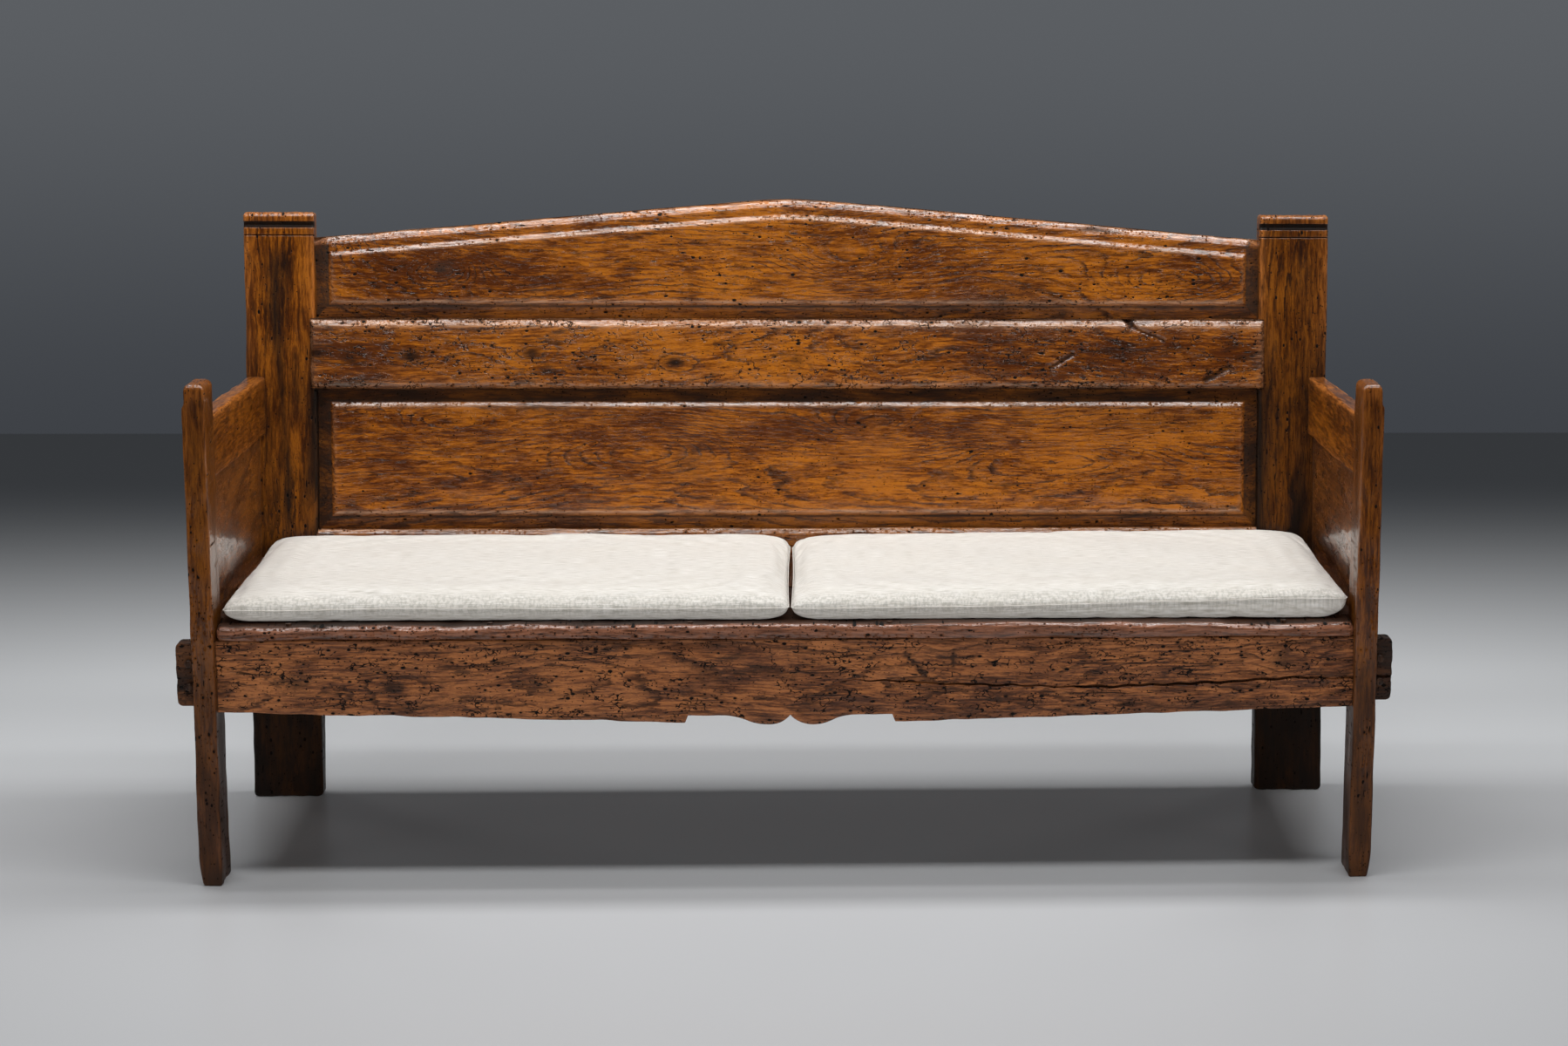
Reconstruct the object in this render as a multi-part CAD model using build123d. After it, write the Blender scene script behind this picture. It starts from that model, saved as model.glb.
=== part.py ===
from build123d import *
import os
from math import cos, radians, sin, tan

# A long panelled settle in old oak: leaning back, closed arms, a scalloped apron and two loose cushions.
# +X is to the right as seen from the front, +Y to the back, +Z up. The origin is on the floor, under the
# middle of the whole settle. Sizes are millimetres and degrees.

os.makedirs("parts", exist_ok=True)

# Stance
leg_span = 1900  # over the outsides of the front legs
back_setback = 530  # front of the legs to the front of the rear posts, along the floor
rake = 5.25  # lean of the back

# Clearances
joint_play = 0.2  # between a tenon or tongue and the cheeks of its slot
end_gap = 2.0  # between the end of a tenon or tongue and the bottom of its slot
peg_play = 0.15  # round a peg, on the radius
seat_play = 0.5  # round the seat planks
cushion_play = 0.3  # under the cushions

# Front legs
leg_thickness = 36
leg_depth = 79
leg_height = 816
leg_arris = 3
nub_height = 36
nub_inset = 3.5
nub_round = 11
foot_wear_height = 48
foot_wear_depth = 6

# Rear posts, with heights along the lean
post_width = 121
post_thickness = 42
post_length = 1030
post_arris = 5
post_foot_round = 9
cap_edge_round = 7
cap_band = 15  # top of the post to the cove
cove_height = 12
cove_depth = 5
cap_fillet = 11  # flat between the cove and the quirk
quirk_height = 3
quirk_depth = 2.5

# Rails of the back, with heights along the lean
middle_rail_low = 722
middle_rail_height = 124
slab_proud = 10  # how far the middle rail stands out of the posts
slab_lap = 9  # how far it laps over each post
slab_top_bevel = 12
slab_low_bevel = 9
slab_end_bevel = 6
bottom_rail_top = 475
bottom_rail_height = 134
bottom_rail_bevel = 7
back_tenon_length = 60
back_tenon_shoulder = 15
back_tenon_thickness = 12
back_tenon_depth = 18  # front of the posts to the front of the tenons

# Panels of the back, with depths behind the front of the posts
groove_depth = 12
tongue_front = 20
tongue_thickness = 10
margin_front = 12
field_front = 7
sight_gap = 0.5  # between the foot of a bevel and the frame round it
bevel_width = 20
field_quirk = 2  # flat between a bevel and the raised field
field_step = 7  # width of the sloping edge of the field
crest_margin = 27  # plain strip under the gabled top
crest_round = 6
crest_side_height = 139  # top of the middle rail to the top of the crest beside the posts
gable_rise = 73  # from there to the apex
apex_radius = 500

# Seat
seat_height = 426
seat_thickness = 26
nosing_setback = 13  # front of the legs to the front of the nosing
nosing_top_round = 12
nosing_low_round = 8
front_plank_width = 290
seat_housing = 11  # depth of the groove in the bottom rail that takes the seat
bearer_spread = 610  # between the middles of the two bearers
bearer_width = 45
bearer_height = 62
bearer_tenon_length = 12
bearer_tenon_shoulder = 9

# Apron
apron_setback = 19  # front of the legs to the front of the apron
apron_thickness = 28
apron_end_height = 117
apron_middle_height = 138
tenon_reach = 28  # how far the through tenons stand out of the legs
tenon_top_shoulder = 2
tenon_low_shoulder = 10
tenon_round = 9
scallop_half = 170
scallop_rise = 12
scallop_step_slope = 4
scallop_corner = 4
ogee_start = 106
lobe_centre = 36
lobe_drop = 16
cusp_rise = 17
patch_width = 66
patch_height = 16
patch_depth = 11

# Arms and sides
arm_thickness = 32
arm_height = 103
arm_drop = 61  # top of the front legs down to the arms behind them
arm_fall = 14  # how much lower the arm's top is at the back
arm_round = 7
arm_tenon_length = 40
side_tenon_thickness = 12
side_tenon_shoulder = 15
rear_tenon_length = 26
side_panel_thickness = 12
side_groove_depth = 11
side_rail_thickness = 52
side_rail_height = 96
side_rail_front_tenon = 22

# Pegs
key_radius = 6.5
key_length = 46
key_spacing = 38
key_end_round = 3
draw_peg_radius = 5
draw_peg_inset = 26  # shoulder of a back joint to its pegs
draw_peg_spacing = 40
draw_peg_cover = 8  # wood left in front of a blind peg
side_peg_radius = 4.5
side_peg_length = 30
side_peg_inset = 11  # shoulder of a side joint to its peg
seat_peg_radius = 4.5
seat_peg_length = 56
apron_peg_places = (160, 480, 800)  # from the middle of the seat
side_peg_margin = 15  # inside of a side rail to the seat pegs in it

# Cushions
cushion_gap = 4
cushion_side_gap = 8  # front leg to the side seam
cushion_setback = 40  # front of the legs to the front seam
cushion_back_gap = 4
cushion_seam_height = 20
cushion_crown = 29  # top of the cushion above its seam
cushion_shoulder = 0.8  # height of the rounded edge, as a share of the crown
cushion_tip = 3  # half thickness at the ends
cushion_tip_crown = 4.2  # top of the thin ends above the seam
cushion_fullness = 8  # the larger this is, the nearer to its ends a cushion stays thick
cushion_edge = 34  # width of the rounded edge above the seam
cushion_low_edge = 16  # and below it
cushion_edge_bulge = 0.16  # how far an edge bows out, as a share of its chord
cushion_front_corner = 16
cushion_rear_corner = 46
cushion_rings = 8  # sections from the middle of a cushion to each end

# Places worked out from the sizes above
half_span = leg_span / 2
leg_inside = half_span - leg_thickness
post_inside = half_span - post_width
lean_sin = sin(radians(rake))
lean_cos = cos(radians(rake))
lean_tan = tan(radians(rake))
total_depth = back_setback + post_length * lean_sin + post_thickness * lean_cos
front = -total_depth / 2
leg_back = front + leg_depth
back_foot = front + back_setback
seat_under = seat_height - seat_thickness
apron_front = front + apron_setback
apron_back = apron_front + apron_thickness
tenon_end = half_span + tenon_reach
tenon_top = seat_under - tenon_top_shoulder
tenon_low = seat_under - apron_end_height + tenon_low_shoulder
middle_rail_top = middle_rail_low + middle_rail_height
apex_height = middle_rail_top + crest_side_height + gable_rise
bottom_rail_low = bottom_rail_top - bottom_rail_height
side_middle = half_span - arm_thickness / 2
side_tenon = (side_middle - side_tenon_thickness / 2, side_middle + side_tenon_thickness / 2)
side_panel = (side_middle - side_panel_thickness / 2, side_middle + side_panel_thickness / 2)
lean = Pos(0, back_foot, 0) * Rot(-rake, 0, 0)


# Shapes that several pieces share
def outline(points, rounds=()):
    # closed shape through the points; rounds lists (number of a corner, its radius)
    shape = Polygon(*points, align=None)
    for corner, radius in rounds:
        place = Vector(*points[corner])
        vertex = min(shape.vertices(), key=lambda v: (v.center() - place).length)
        shape = fillet(vertex, radius)
    return shape


def from_front(shape, y_low, y_high):
    # a shape drawn in X and Z, as thick as the space between two depths
    return extrude(Plane.XZ.offset(-y_low) * shape, amount=y_high - y_low, dir=(0, 1, 0))


def from_side(shape, x_low, x_high):
    # a shape drawn in Y and Z, as thick as the space between two places along X
    return extrude(Plane.YZ.offset(x_low) * shape, amount=x_high - x_low, dir=(1, 0, 0))


def from_above(shape, z_low, z_high):
    # a shape drawn in X and Y, as thick as the space between two heights
    return extrude(Plane.XY.offset(z_low) * shape, amount=z_high - z_low, dir=(0, 0, 1))


def block(x_low, x_high, y_low, y_high, z_low, z_high):
    middle = Pos((x_low + x_high) / 2, (y_low + y_high) / 2, (z_low + z_high) / 2)
    return middle * Box(x_high - x_low, y_high - y_low, z_high - z_low)


def rectangle(u_low, u_high, v_low, v_high):
    return [(u_low, v_low), (u_high, v_low), (u_high, v_high), (u_low, v_high)]


def bevelled(wide, y_wide, narrow, y_narrow):
    # straight bevels from one outline to another at a different depth
    return loft([Plane.XZ.offset(-y_wide) * wide, Plane.XZ.offset(-y_narrow) * narrow], ruled=True)


def rod(x, y_low, y_high, z, radius):
    # round rod that runs from front to back
    return Pos(x, (y_low + y_high) / 2, z) * Rot(90, 0, 0) * Cylinder(radius, y_high - y_low)


def crossbar(x_low, x_high, y, z, radius):
    # round rod that runs along X
    return Pos((x_low + x_high) / 2, y, z) * Rot(0, 90, 0) * Cylinder(radius, x_high - x_low)


def upright(x, y, z_low, z_high, radius):
    return Pos(x, y, (z_low + z_high) / 2) * Cylinder(radius, z_high - z_low)


def other_side(piece):
    return mirror(piece, about=Plane.YZ)


def post_face(z):
    # depth of the front of the rear posts at a height above the floor
    return back_foot + z * lean_tan


# Side frame: rails with a tenon at both ends, between a front leg and a leaning rear post
def leaning_board(z_front_low, z_front_high, z_rear_low, z_rear_high):
    return [
        (leg_back, z_front_low),
        (leg_back, z_front_high),
        (post_face(z_rear_high), z_rear_high),
        (post_face(z_rear_low), z_rear_low),
    ]


def side_tenons(z_front, z_rear, height, front_length, play=0.0, gap=0.0):
    # both tenons of a side rail, or with play and gap the slots that take them
    low = side_tenon_shoulder - play
    high = height - side_tenon_shoulder + play
    x_low = side_tenon[0] - play
    x_high = side_tenon[1] + play
    reach = front_length + gap
    front_tenon = block(x_low, x_high, leg_back - reach, leg_back + play, z_front + low, z_front + high)
    rear_points = [
        (post_face(z_rear + low) - play, z_rear + low),
        (post_face(z_rear + high) - play, z_rear + high),
        (post_face(z_rear + high) + rear_tenon_length + gap, z_rear + high),
        (post_face(z_rear + low) + rear_tenon_length + gap, z_rear + low),
    ]
    return front_tenon + from_side(outline(rear_points), x_low, x_high)


arm_front_top = leg_height - arm_drop
arm_front_low = arm_front_top - arm_height
arm_rear_low = arm_front_low - arm_fall
side_rail_low = seat_under - side_rail_height


def side_panel_board(play=0.0, gap=0.0):
    # a side panel with its tongues, or with play and gap the grooves that take it
    tongue = side_groove_depth - end_gap + gap
    low = seat_under - tongue
    front_high = arm_front_low + tongue
    rear_high = arm_rear_low + tongue
    points = [
        (leg_back - tongue, low),
        (leg_back - tongue, front_high),
        (post_face(rear_high) + tongue, rear_high),
        (post_face(low) + tongue, low),
    ]
    return from_side(outline(points), side_panel[0] - play, side_panel[1] + play)


def arm_tenons(play=0.0, gap=0.0):
    return side_tenons(arm_front_low, arm_rear_low, arm_height, arm_tenon_length, play, gap)


def side_rail_tenons(play=0.0, gap=0.0):
    return side_tenons(side_rail_low, side_rail_low, side_rail_height, side_rail_front_tenon, play, gap)


side_slots = arm_tenons(joint_play, end_gap) + side_rail_tenons(joint_play, end_gap)
side_groove = side_panel_board(joint_play, end_gap)


def make_side_pegs(radius, length):
    # one peg in each of the four joints of a side, driven in from the outside
    pegs = []
    for low, fall, height in ((arm_front_low, arm_fall, arm_height), (side_rail_low, 0, side_rail_height)):
        middle = low + height / 2
        pegs.append((leg_back - side_peg_inset, middle))
        pegs.append((post_face(middle - fall) + side_peg_inset, middle - fall))
    return [crossbar(half_span - length, half_span, y, z, radius) for y, z in pegs]


side_pegs = make_side_pegs(side_peg_radius, side_peg_length)
side_peg_holes = make_side_pegs(side_peg_radius + peg_play, side_peg_length + end_gap)

arm_rail = from_side(
    outline(leaning_board(arm_front_low, arm_front_top, arm_rear_low, arm_front_top - arm_fall)),
    half_span - arm_thickness,
    half_span,
)
long_top_edges = arm_rail.faces().sort_by(Axis.Z)[-1].edges().sort_by(SortBy.LENGTH)[-2:]
arm_rail = fillet(long_top_edges, arm_round) + arm_tenons()
arm_rail = arm_rail - side_groove - side_peg_holes

side_rail = from_side(
    outline(leaning_board(side_rail_low, seat_under, side_rail_low, seat_under)),
    half_span - side_rail_thickness,
    half_span,
)
side_rail = side_rail + side_rail_tenons() - side_groove - side_peg_holes

# Apron: a scalloped board whose ends pass right through the legs
scallop_low = seat_under - apron_middle_height
scallop_flat = scallop_low + scallop_rise
lobe_low = scallop_flat - lobe_drop
cusp = (0, lobe_low + cusp_rise)
lobe = (lobe_centre, lobe_low)
ogee_middle = ((ogee_start + lobe_centre) / 2, (scallop_flat + lobe_low) / 2)
ogee_top = (ogee_start, scallop_flat)
scallop_edges = [
    TangentArc(lobe, cusp, tangent=(-1, 0)),
    TangentArc(lobe, ogee_middle, tangent=(1, 0)),
    TangentArc(ogee_top, ogee_middle, tangent=(-1, 0)),
    Polyline(
        ogee_top,
        (scallop_half - scallop_step_slope, scallop_flat),
        (scallop_half, scallop_low),
        (leg_inside, seat_under - apron_end_height),
        (leg_inside, seat_under),
        (0, seat_under),
        cusp,
    ),
]
half_apron = make_face(scallop_edges)
step_corner = min(
    half_apron.vertices(), key=lambda v: (v.center() - Vector(scallop_half, scallop_low)).length
)
half_apron = fillet(step_corner, scallop_corner)
tenon_points = rectangle(leg_inside - end_gap, tenon_end, tenon_low, tenon_top)
half_tenon = outline(tenon_points, [(1, tenon_round), (2, tenon_round)])
half_apron = half_apron + half_tenon
apron = from_front(half_apron + other_side(half_apron), apron_front, apron_back)

key_x = half_span + key_radius + peg_play
key_middle = (tenon_low + tenon_top) / 2
key_levels = (key_middle - key_spacing / 2, key_middle + key_spacing / 2)
apron_middle = (apron_front + apron_back) / 2
key_front = apron_middle - key_length / 2
key_back = apron_middle + key_length / 2
tenon_keys = []
for level in key_levels:
    key = rod(key_x, key_front, key_back, level, key_radius)
    tenon_keys.append(fillet(key.edges().filter_by(GeomType.CIRCLE), key_end_round))
    key_hole = rod(key_x, key_front, key_back, level, key_radius + peg_play)
    apron = apron - key_hole - other_side(key_hole)

patch_outline = rectangle(-patch_width / 2, patch_width / 2, seat_under - patch_height, seat_under)
apron_patch = from_front(outline(patch_outline), apron_front, apron_front + patch_depth)
patch_pocket = block(
    -patch_width / 2 - joint_play,
    patch_width / 2 + joint_play,
    apron_front - end_gap,
    apron_front + patch_depth + joint_play,
    seat_under - patch_height - joint_play,
    seat_under + end_gap,
)
apron = apron - patch_pocket

# Seat: two planks let into the bottom rail, carried by the apron, the side rails and two bearers
seat_end = side_panel[0] - seat_play
seat_front = front + nosing_setback
plank_joint = seat_front + front_plank_width
seat_back = post_face(seat_under) + seat_housing - seat_play
post_stop = post_face(seat_under) - seat_play
leg_notch = leg_inside - seat_play
leg_notch_back = leg_back + seat_play
post_notch = post_inside - seat_play
front_plank_half = [
    (0, seat_front),
    (leg_notch, seat_front),
    (leg_notch, leg_notch_back),
    (seat_end, leg_notch_back),
    (seat_end, plank_joint),
    (0, plank_joint),
]
rear_plank_half = [
    (0, plank_joint + seat_play),
    (seat_end, plank_joint + seat_play),
    (seat_end, post_stop),
    (post_notch, post_stop),
    (post_notch, seat_back),
    (0, seat_back),
]


def whole_plank(half_points):
    half = outline(half_points)
    return from_above(half + other_side(half), seat_under, seat_height)


seat_front_plank = whole_plank(front_plank_half)
nosing = seat_front_plank.faces().sort_by(Axis.Y)[0].edges().filter_by(Axis.X).sort_by(Axis.Z)
seat_front_plank = fillet(nosing[-1], nosing_top_round)
nosing = seat_front_plank.faces().sort_by(Axis.Y)[0].edges().filter_by(Axis.X).sort_by(Axis.Z)
seat_front_plank = fillet(nosing[0], nosing_low_round)
seat_rear_plank = whole_plank(rear_plank_half)

bearer_x = bearer_spread / 2
bearer_low = seat_under - bearer_height


def bearer_tenons(play=0.0, gap=0.0):
    # stub tenons of one bearer, or with play and gap the slots that take them
    half = bearer_width / 2 - bearer_tenon_shoulder + play
    low = bearer_low + bearer_tenon_shoulder - play
    high = seat_under - bearer_tenon_shoulder + play
    reach = bearer_tenon_length + gap
    points = [
        (post_face(low) - play, low),
        (post_face(high) - play, high),
        (post_face(high) + reach, high),
        (post_face(low) + reach, low),
    ]
    front_stub = block(bearer_x - half, bearer_x + half, apron_back - reach, apron_back + play, low, high)
    return front_stub + from_side(outline(points), bearer_x - half, bearer_x + half)


bearer_points = [
    (apron_back, bearer_low),
    (apron_back, seat_under),
    (post_face(seat_under), seat_under),
    (post_face(bearer_low), bearer_low),
]
bearer = from_side(outline(bearer_points), bearer_x - bearer_width / 2, bearer_x + bearer_width / 2)
bearer = bearer + bearer_tenons()
bearer_slots = bearer_tenons(joint_play, end_gap)
apron = apron - bearer_slots - other_side(bearer_slots)

front_plank_middle = (leg_notch_back + plank_joint) / 2
rear_plank_middle = (plank_joint + post_stop) / 2
side_rail_peg_x = half_span - side_rail_thickness + side_peg_margin
seat_peg_places = [(x, apron_middle) for x in apron_peg_places]
for y in (front_plank_middle, rear_plank_middle):
    seat_peg_places += [(bearer_x, y), (side_rail_peg_x, y)]


def make_seat_pegs(radius, length):
    pegs = [upright(x, y, seat_height - length, seat_height, radius) for x, y in seat_peg_places]
    return pegs + [other_side(peg) for peg in pegs]


seat_pegs = make_seat_pegs(seat_peg_radius, seat_peg_length)
seat_peg_holes = make_seat_pegs(seat_peg_radius + peg_play, seat_peg_length + end_gap)
seat_front_plank = seat_front_plank - seat_peg_holes
seat_rear_plank = seat_rear_plank - seat_peg_holes
apron = apron - seat_peg_holes
bearer = bearer - seat_peg_holes
side_rail = side_rail - seat_peg_holes

# Front leg: a plank on edge, worn at the foot and rounded to a nub above the arm
nub_low = leg_height - nub_height
leg_front_points = [
    (leg_inside, 0),
    (half_span - foot_wear_depth, 0),
    (half_span, foot_wear_height),
    (half_span, nub_low),
    (half_span - nub_inset, nub_low + nub_inset),
    (half_span - nub_inset, leg_height),
    (leg_inside, leg_height),
]
leg_side_points = [
    (front, 0),
    (leg_back, 0),
    (leg_back, nub_low),
    (leg_back - nub_inset, nub_low + nub_inset),
    (leg_back - nub_inset, leg_height),
    (front, leg_height),
]
leg_plan = outline(
    rectangle(leg_inside, half_span, front, leg_back), [(corner, leg_arris) for corner in range(4)]
)
front_leg = from_front(outline(leg_front_points, [(5, nub_round), (6, nub_round)]), front, leg_back)
front_leg = front_leg & from_side(
    outline(leg_side_points, [(4, nub_round), (5, nub_round)]), leg_inside, half_span
)
front_leg = front_leg & from_above(leg_plan, 0, leg_height)
apron_slot = block(
    leg_inside - end_gap,
    half_span + end_gap,
    apron_front - joint_play,
    apron_back + joint_play,
    tenon_low - joint_play,
    tenon_top + joint_play,
)
front_leg = front_leg - apron_slot - side_slots - side_groove - side_peg_holes

# The back is worked out upright, with Y as the depth behind the front of the posts and Z as the height
# along the lean, and each finished piece then leans.
tongue_reach = groove_depth - end_gap
sight_x = post_inside - sight_gap
sight_top = middle_rail_low - sight_gap
sight_low = bottom_rail_top + sight_gap
gable_slope = gable_rise / post_inside
tongue_back = tongue_front + tongue_thickness


def gable(half_width, low, drop):
    # five-sided outline under the gabled top, its top edge lowered by drop
    eave = apex_height - half_width * gable_slope - drop
    points = [
        (-half_width, low),
        (half_width, low),
        (half_width, eave),
        (0, apex_height - drop),
        (-half_width, eave),
    ]
    return outline(points, [(3, apex_radius)])


def lower_tongue(play=0.0, gap=0.0):
    # the flat plate of the lower panel that sits in the grooves, or the grooves themselves
    x = post_inside + tongue_reach + gap
    low = bottom_rail_top - tongue_reach - gap
    high = middle_rail_low + tongue_reach + gap
    return block(-x, x, tongue_front - play, tongue_back + play, low, high)


def crest_tongue(play=0.0, gap=0.0):
    x = post_inside + tongue_reach + gap
    low = middle_rail_top - tongue_reach - gap
    return from_front(gable(x, low, -play), tongue_front - play, tongue_back + play)


def raised_field(wide_outline, narrow_outline):
    return bevelled(wide_outline, margin_front, narrow_outline, field_front)


inset = bevel_width + field_quirk
lower_panel = lower_tongue()
lower_panel = lower_panel + bevelled(
    outline(rectangle(-sight_x, sight_x, sight_low, sight_top)),
    tongue_front,
    outline(
        rectangle(
            bevel_width - sight_x, sight_x - bevel_width, sight_low + bevel_width, sight_top - bevel_width
        )
    ),
    margin_front,
)
lower_panel = lower_panel + raised_field(
    outline(rectangle(inset - sight_x, sight_x - inset, sight_low + inset, sight_top - inset)),
    outline(
        rectangle(
            inset + field_step - sight_x,
            sight_x - inset - field_step,
            sight_low + inset + field_step,
            sight_top - inset - field_step,
        )
    ),
)

crest_low = middle_rail_top + sight_gap
crest_panel = crest_tongue()
crest_panel = crest_panel + bevelled(
    gable(sight_x, crest_low, 0),
    tongue_front,
    gable(sight_x - bevel_width, crest_low + bevel_width, 0),
    margin_front,
)
crest_panel = crest_panel + raised_field(
    gable(sight_x - inset, crest_low + inset, crest_margin),
    gable(sight_x - inset - field_step, crest_low + inset + field_step, crest_margin + field_step),
)
crest_top_edges = [
    edge
    for edge in crest_panel.edges()
    if abs(edge.center().Z - apex_height + abs(edge.center().X) * gable_slope) < crest_round
    and abs(edge.center().Y - margin_front) < joint_play
]
crest_panel = fillet(crest_top_edges, crest_round)

lower_groove = lower_tongue(joint_play, end_gap)
crest_groove = crest_tongue(joint_play, end_gap)


def back_tenons(low, high, play=0.0, gap=0.0):
    # tenons at both ends of a rail of the back, or with play and gap the slots that take them
    reach = post_inside + back_tenon_length + gap
    depth = (back_tenon_depth - play, back_tenon_depth + back_tenon_thickness + play)
    bottom = low + back_tenon_shoulder - play
    top = high - back_tenon_shoulder + play
    return block(-reach, reach, depth[0], depth[1], bottom, top)


def make_draw_pegs(radius, cover):
    # two blind pegs through each tenon of the back, driven in from behind
    pegs = []
    for middle in ((middle_rail_low + middle_rail_top) / 2, (bottom_rail_low + bottom_rail_top) / 2):
        for side in (-1, 1):
            for shift in (-draw_peg_spacing / 2, draw_peg_spacing / 2):
                x = side * (post_inside + draw_peg_inset)
                pegs.append(rod(x, cover, post_thickness, middle + shift, radius))
    return pegs


draw_pegs = make_draw_pegs(draw_peg_radius, draw_peg_cover)
draw_peg_holes = make_draw_pegs(draw_peg_radius + peg_play, draw_peg_cover - end_gap)

slab_x = post_inside + slab_lap
middle_rail = block(-post_inside, post_inside, 0, post_thickness, middle_rail_low, middle_rail_top)
middle_rail = middle_rail + back_tenons(middle_rail_low, middle_rail_top)
middle_rail = middle_rail + bevelled(
    outline(rectangle(-slab_x, slab_x, middle_rail_low, middle_rail_top)),
    0,
    outline(
        rectangle(
            slab_end_bevel - slab_x,
            slab_x - slab_end_bevel,
            middle_rail_low + slab_low_bevel,
            middle_rail_top - slab_top_bevel,
        )
    ),
    -slab_proud,
)
middle_rail = middle_rail - lower_groove - crest_groove - draw_peg_holes

bottom_rail = block(-post_inside, post_inside, 0, post_thickness, bottom_rail_low, bottom_rail_top)
bottom_rail_arris = bottom_rail.faces().sort_by(Axis.Y)[0].edges().filter_by(Axis.X).sort_by(Axis.Z)[-1]
bottom_rail = chamfer(bottom_rail_arris, bottom_rail_bevel)
bottom_rail = bottom_rail + back_tenons(bottom_rail_low, bottom_rail_top)
bottom_rail = bottom_rail - lower_groove - draw_peg_holes

seat_groove = block(
    -post_inside,
    post_inside,
    post_face(seat_under) - seat_housing,
    post_face(seat_under) + seat_housing,
    seat_under - joint_play,
    seat_height + joint_play,
)
bottom_rail = lean * bottom_rail - seat_groove - bearer_slots - other_side(bearer_slots)

# Rear post: a wide leaning board, its foot cut level, with a cap moulding across the front
cove_top = post_length - cap_band
quirk_top = cove_top - cove_height - cap_fillet
post_front = outline(
    rectangle(post_inside, half_span, 0, post_length), [(0, post_foot_round), (1, post_foot_round)]
)
post_side = outline(
    [
        (0, 0),
        (post_thickness, post_thickness * lean_tan),
        (post_thickness, post_length),
        (0, post_length),
    ],
    [(3, cap_edge_round)],
)
post_plan = outline(
    rectangle(post_inside, half_span, 0, post_thickness), [(0, post_arris), (1, post_arris)]
)
rear_post = from_front(post_front, 0, post_thickness)
rear_post = rear_post & from_side(post_side, post_inside, half_span)
rear_post = rear_post & from_above(post_plan, 0, post_length)
cove_radius = (cove_height**2 / 4 + cove_depth**2) / (2 * cove_depth)
cove = crossbar(
    post_inside - end_gap,
    half_span + end_gap,
    cove_depth - cove_radius,
    cove_top - cove_height / 2,
    cove_radius,
)
quirk = from_side(
    outline([(0, quirk_top), (quirk_depth, quirk_top - quirk_height / 2), (0, quirk_top - quirk_height)]),
    post_inside - end_gap,
    half_span + end_gap,
)
rear_post = rear_post - cove - quirk - lower_groove - crest_groove - draw_peg_holes
rear_post = rear_post - back_tenons(middle_rail_low, middle_rail_top, joint_play, end_gap)
rear_post = rear_post - back_tenons(bottom_rail_low, bottom_rail_top, joint_play, end_gap)
rear_post = lean * rear_post - side_slots - side_groove - side_peg_holes

# Cushion: crowned above and below a seam at half height, thin at the ends, resting flat on the seat
cushion_inside = cushion_gap / 2
cushion_outside = leg_inside - cushion_side_gap
cushion_middle = (cushion_inside + cushion_outside) / 2
cushion_half = (cushion_outside - cushion_inside) / 2
cushion_front = front + cushion_setback
cushion_seam = seat_height + cushion_play + cushion_seam_height
cushion_back = post_face(seat_height) - cushion_back_gap


def corner_inset(reach, corner):
    # how far a rounded corner in plan draws the seam in, at a distance from the cushion's end
    short = max(0.0, 1 - reach / corner)
    return corner * (1 - (1 - short**2) ** 0.5)


def bowed_edge(start, end, side):
    # an arc that bows to one side of its chord
    along = Vector(*end) - Vector(*start)
    bow = Vector(-along.Y, along.X) * side * cushion_edge_bulge
    middle = (Vector(*start) + Vector(*end)) * 0.5 + bow
    return ThreePointArc(start, (middle.X, middle.Y), end)


def cushion_section(station):
    share = abs(station)
    fullness = (1 - share**cushion_fullness) ** 0.5
    reach = cushion_half * (1 - share)
    y_front = cushion_front + corner_inset(reach, cushion_front_corner)
    y_back = cushion_back - corner_inset(reach, cushion_rear_corner)
    low = cushion_seam - max(cushion_tip, cushion_seam_height * fullness)
    shoulder = cushion_seam + max(cushion_tip, cushion_shoulder * cushion_crown * fullness)
    top = cushion_seam + max(cushion_tip_crown, cushion_crown * fullness)
    front_low = (y_front + cushion_low_edge, low)
    back_low = (y_back - cushion_low_edge, low)
    front_high = (y_front + cushion_edge, shoulder)
    back_high = (y_back - cushion_edge, shoulder)
    front_seam = (y_front, cushion_seam)
    back_seam = (y_back, cushion_seam)
    edges = [
        Line(front_low, back_low),
        bowed_edge(back_low, back_seam, -1),
        bowed_edge(back_seam, back_high, -1),
        ThreePointArc(back_high, ((y_front + y_back) / 2, top), front_high),
        bowed_edge(front_high, front_seam, -1),
        bowed_edge(front_seam, front_low, -1),
    ]
    return Plane.YZ.offset(cushion_middle + cushion_half * station) * make_face(edges)


# the sections crowd towards the ends, as the sine of equal steps
stations = [sin(radians(90 * ring / cushion_rings)) for ring in range(-cushion_rings, cushion_rings + 1)]
cushion = loft([cushion_section(station) for station in stations], ruled=True)

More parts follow.
